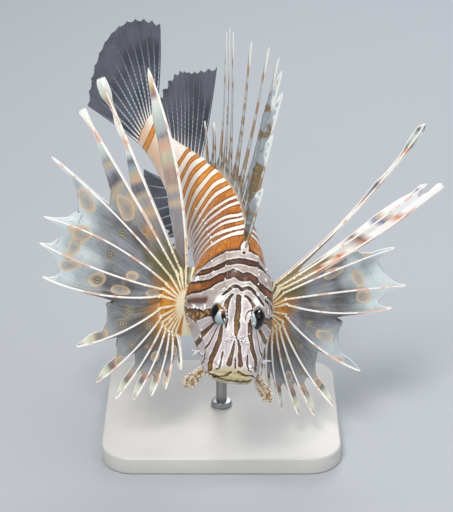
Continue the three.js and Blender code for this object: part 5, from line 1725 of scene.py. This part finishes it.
class AddPairedFins(bpy.types.Operator):
    """Makes the pectoral and pelvic fins"""
    bl_idname = "lionfish.paired_fins"
    bl_label = "Pectoral and pelvic fins"
    bl_options = {"REGISTER", "UNDO"}

    def execute(self, context):
        webs = {side: finish_of("pectoral " + side, lambda: pectoral_finish(side)) for side in SIDES}
        pectoral_fins(webs, finish_of("flesh", flesh_finish))
        pelvic_fins(finish_of("dusky", lambda: dusky_finish(context.scene.lionfish_colours)))
        return {"FINISHED"}


class AddMidlineFins(bpy.types.Operator):
    """Makes the dorsal spines and the soft dorsal, anal and tail fins"""
    bl_idname = "lionfish.midline_fins"
    bl_label = "Spines and midline fins"
    bl_options = {"REGISTER", "UNDO"}

    def execute(self, context):
        dorsal_spines(finish_of("spine", spine_finish))
        midline_fins(finish_of("dusky", lambda: dusky_finish(context.scene.lionfish_colours)))
        return {"FINISHED"}


class AddStand(bpy.types.Operator):
    """Makes the display stand"""
    bl_idname = "lionfish.stand"
    bl_label = "Stand"
    bl_options = {"REGISTER", "UNDO"}

    def execute(self, context):
        sizes, colours = context.scene.lionfish_stand, context.scene.lionfish_colours
        stand_base(sizes, finish_of("paint", lambda: paint_finish(colours)))
        stand_rod(sizes, finish_of("steel", steel_finish))
        return {"FINISHED"}


class AddStage(bpy.types.Operator):
    """Makes the camera, the floor and the lights"""
    bl_idname = "lionfish.stage"
    bl_label = "Stage"
    bl_options = {"REGISTER", "UNDO"}

    def execute(self, context):
        camera()
        floor_and_light(context.scene.lionfish_studio)
        return {"FINISHED"}


OPERATORS = (AddStage, AddSkin, AddEyes, AddMouthLeaves, AddPairedFins, AddMidlineFins, AddStand)


class LionfishPanel(bpy.types.Panel):
    """Pieces, sizes and colours of the lionfish."""
    bl_idname = "VIEW3D_PT_lionfish"
    bl_label = "Lionfish"
    bl_space_type = "VIEW_3D"
    bl_region_type = "UI"
    bl_category = "Lionfish"

    def draw(self, context):
        for operator in OPERATORS:
            self.layout.operator(operator.bl_idname)
        for owner in GROUPS:
            group = getattr(context.scene, owner)
            for name in group.__annotations__:
                self.layout.prop(group, name)


def register():
    """Makes the settings, the operators and the panel known."""
    for group in GROUPS.values():
        bpy.utils.register_class(group)
    for name, group in GROUPS.items():
        setattr(bpy.types.Scene, name, bpy.props.PointerProperty(type=group))
    for operator in OPERATORS:
        bpy.utils.register_class(operator)
    bpy.utils.register_class(LionfishPanel)


def unregister():
    """Takes them away again."""
    bpy.utils.unregister_class(LionfishPanel)
    for operator in reversed(OPERATORS):
        bpy.utils.unregister_class(operator)
    for name in GROUPS:
        delattr(bpy.types.Scene, name)
    for group in reversed(GROUPS.values()):
        bpy.utils.unregister_class(group)


def main():
    """Makes every piece in order."""
    register()
    for operator in OPERATORS:
        group, name = operator.bl_idname.split(".")
        getattr(getattr(bpy.ops, group), name)()


if __name__ == "__main__":
    main()
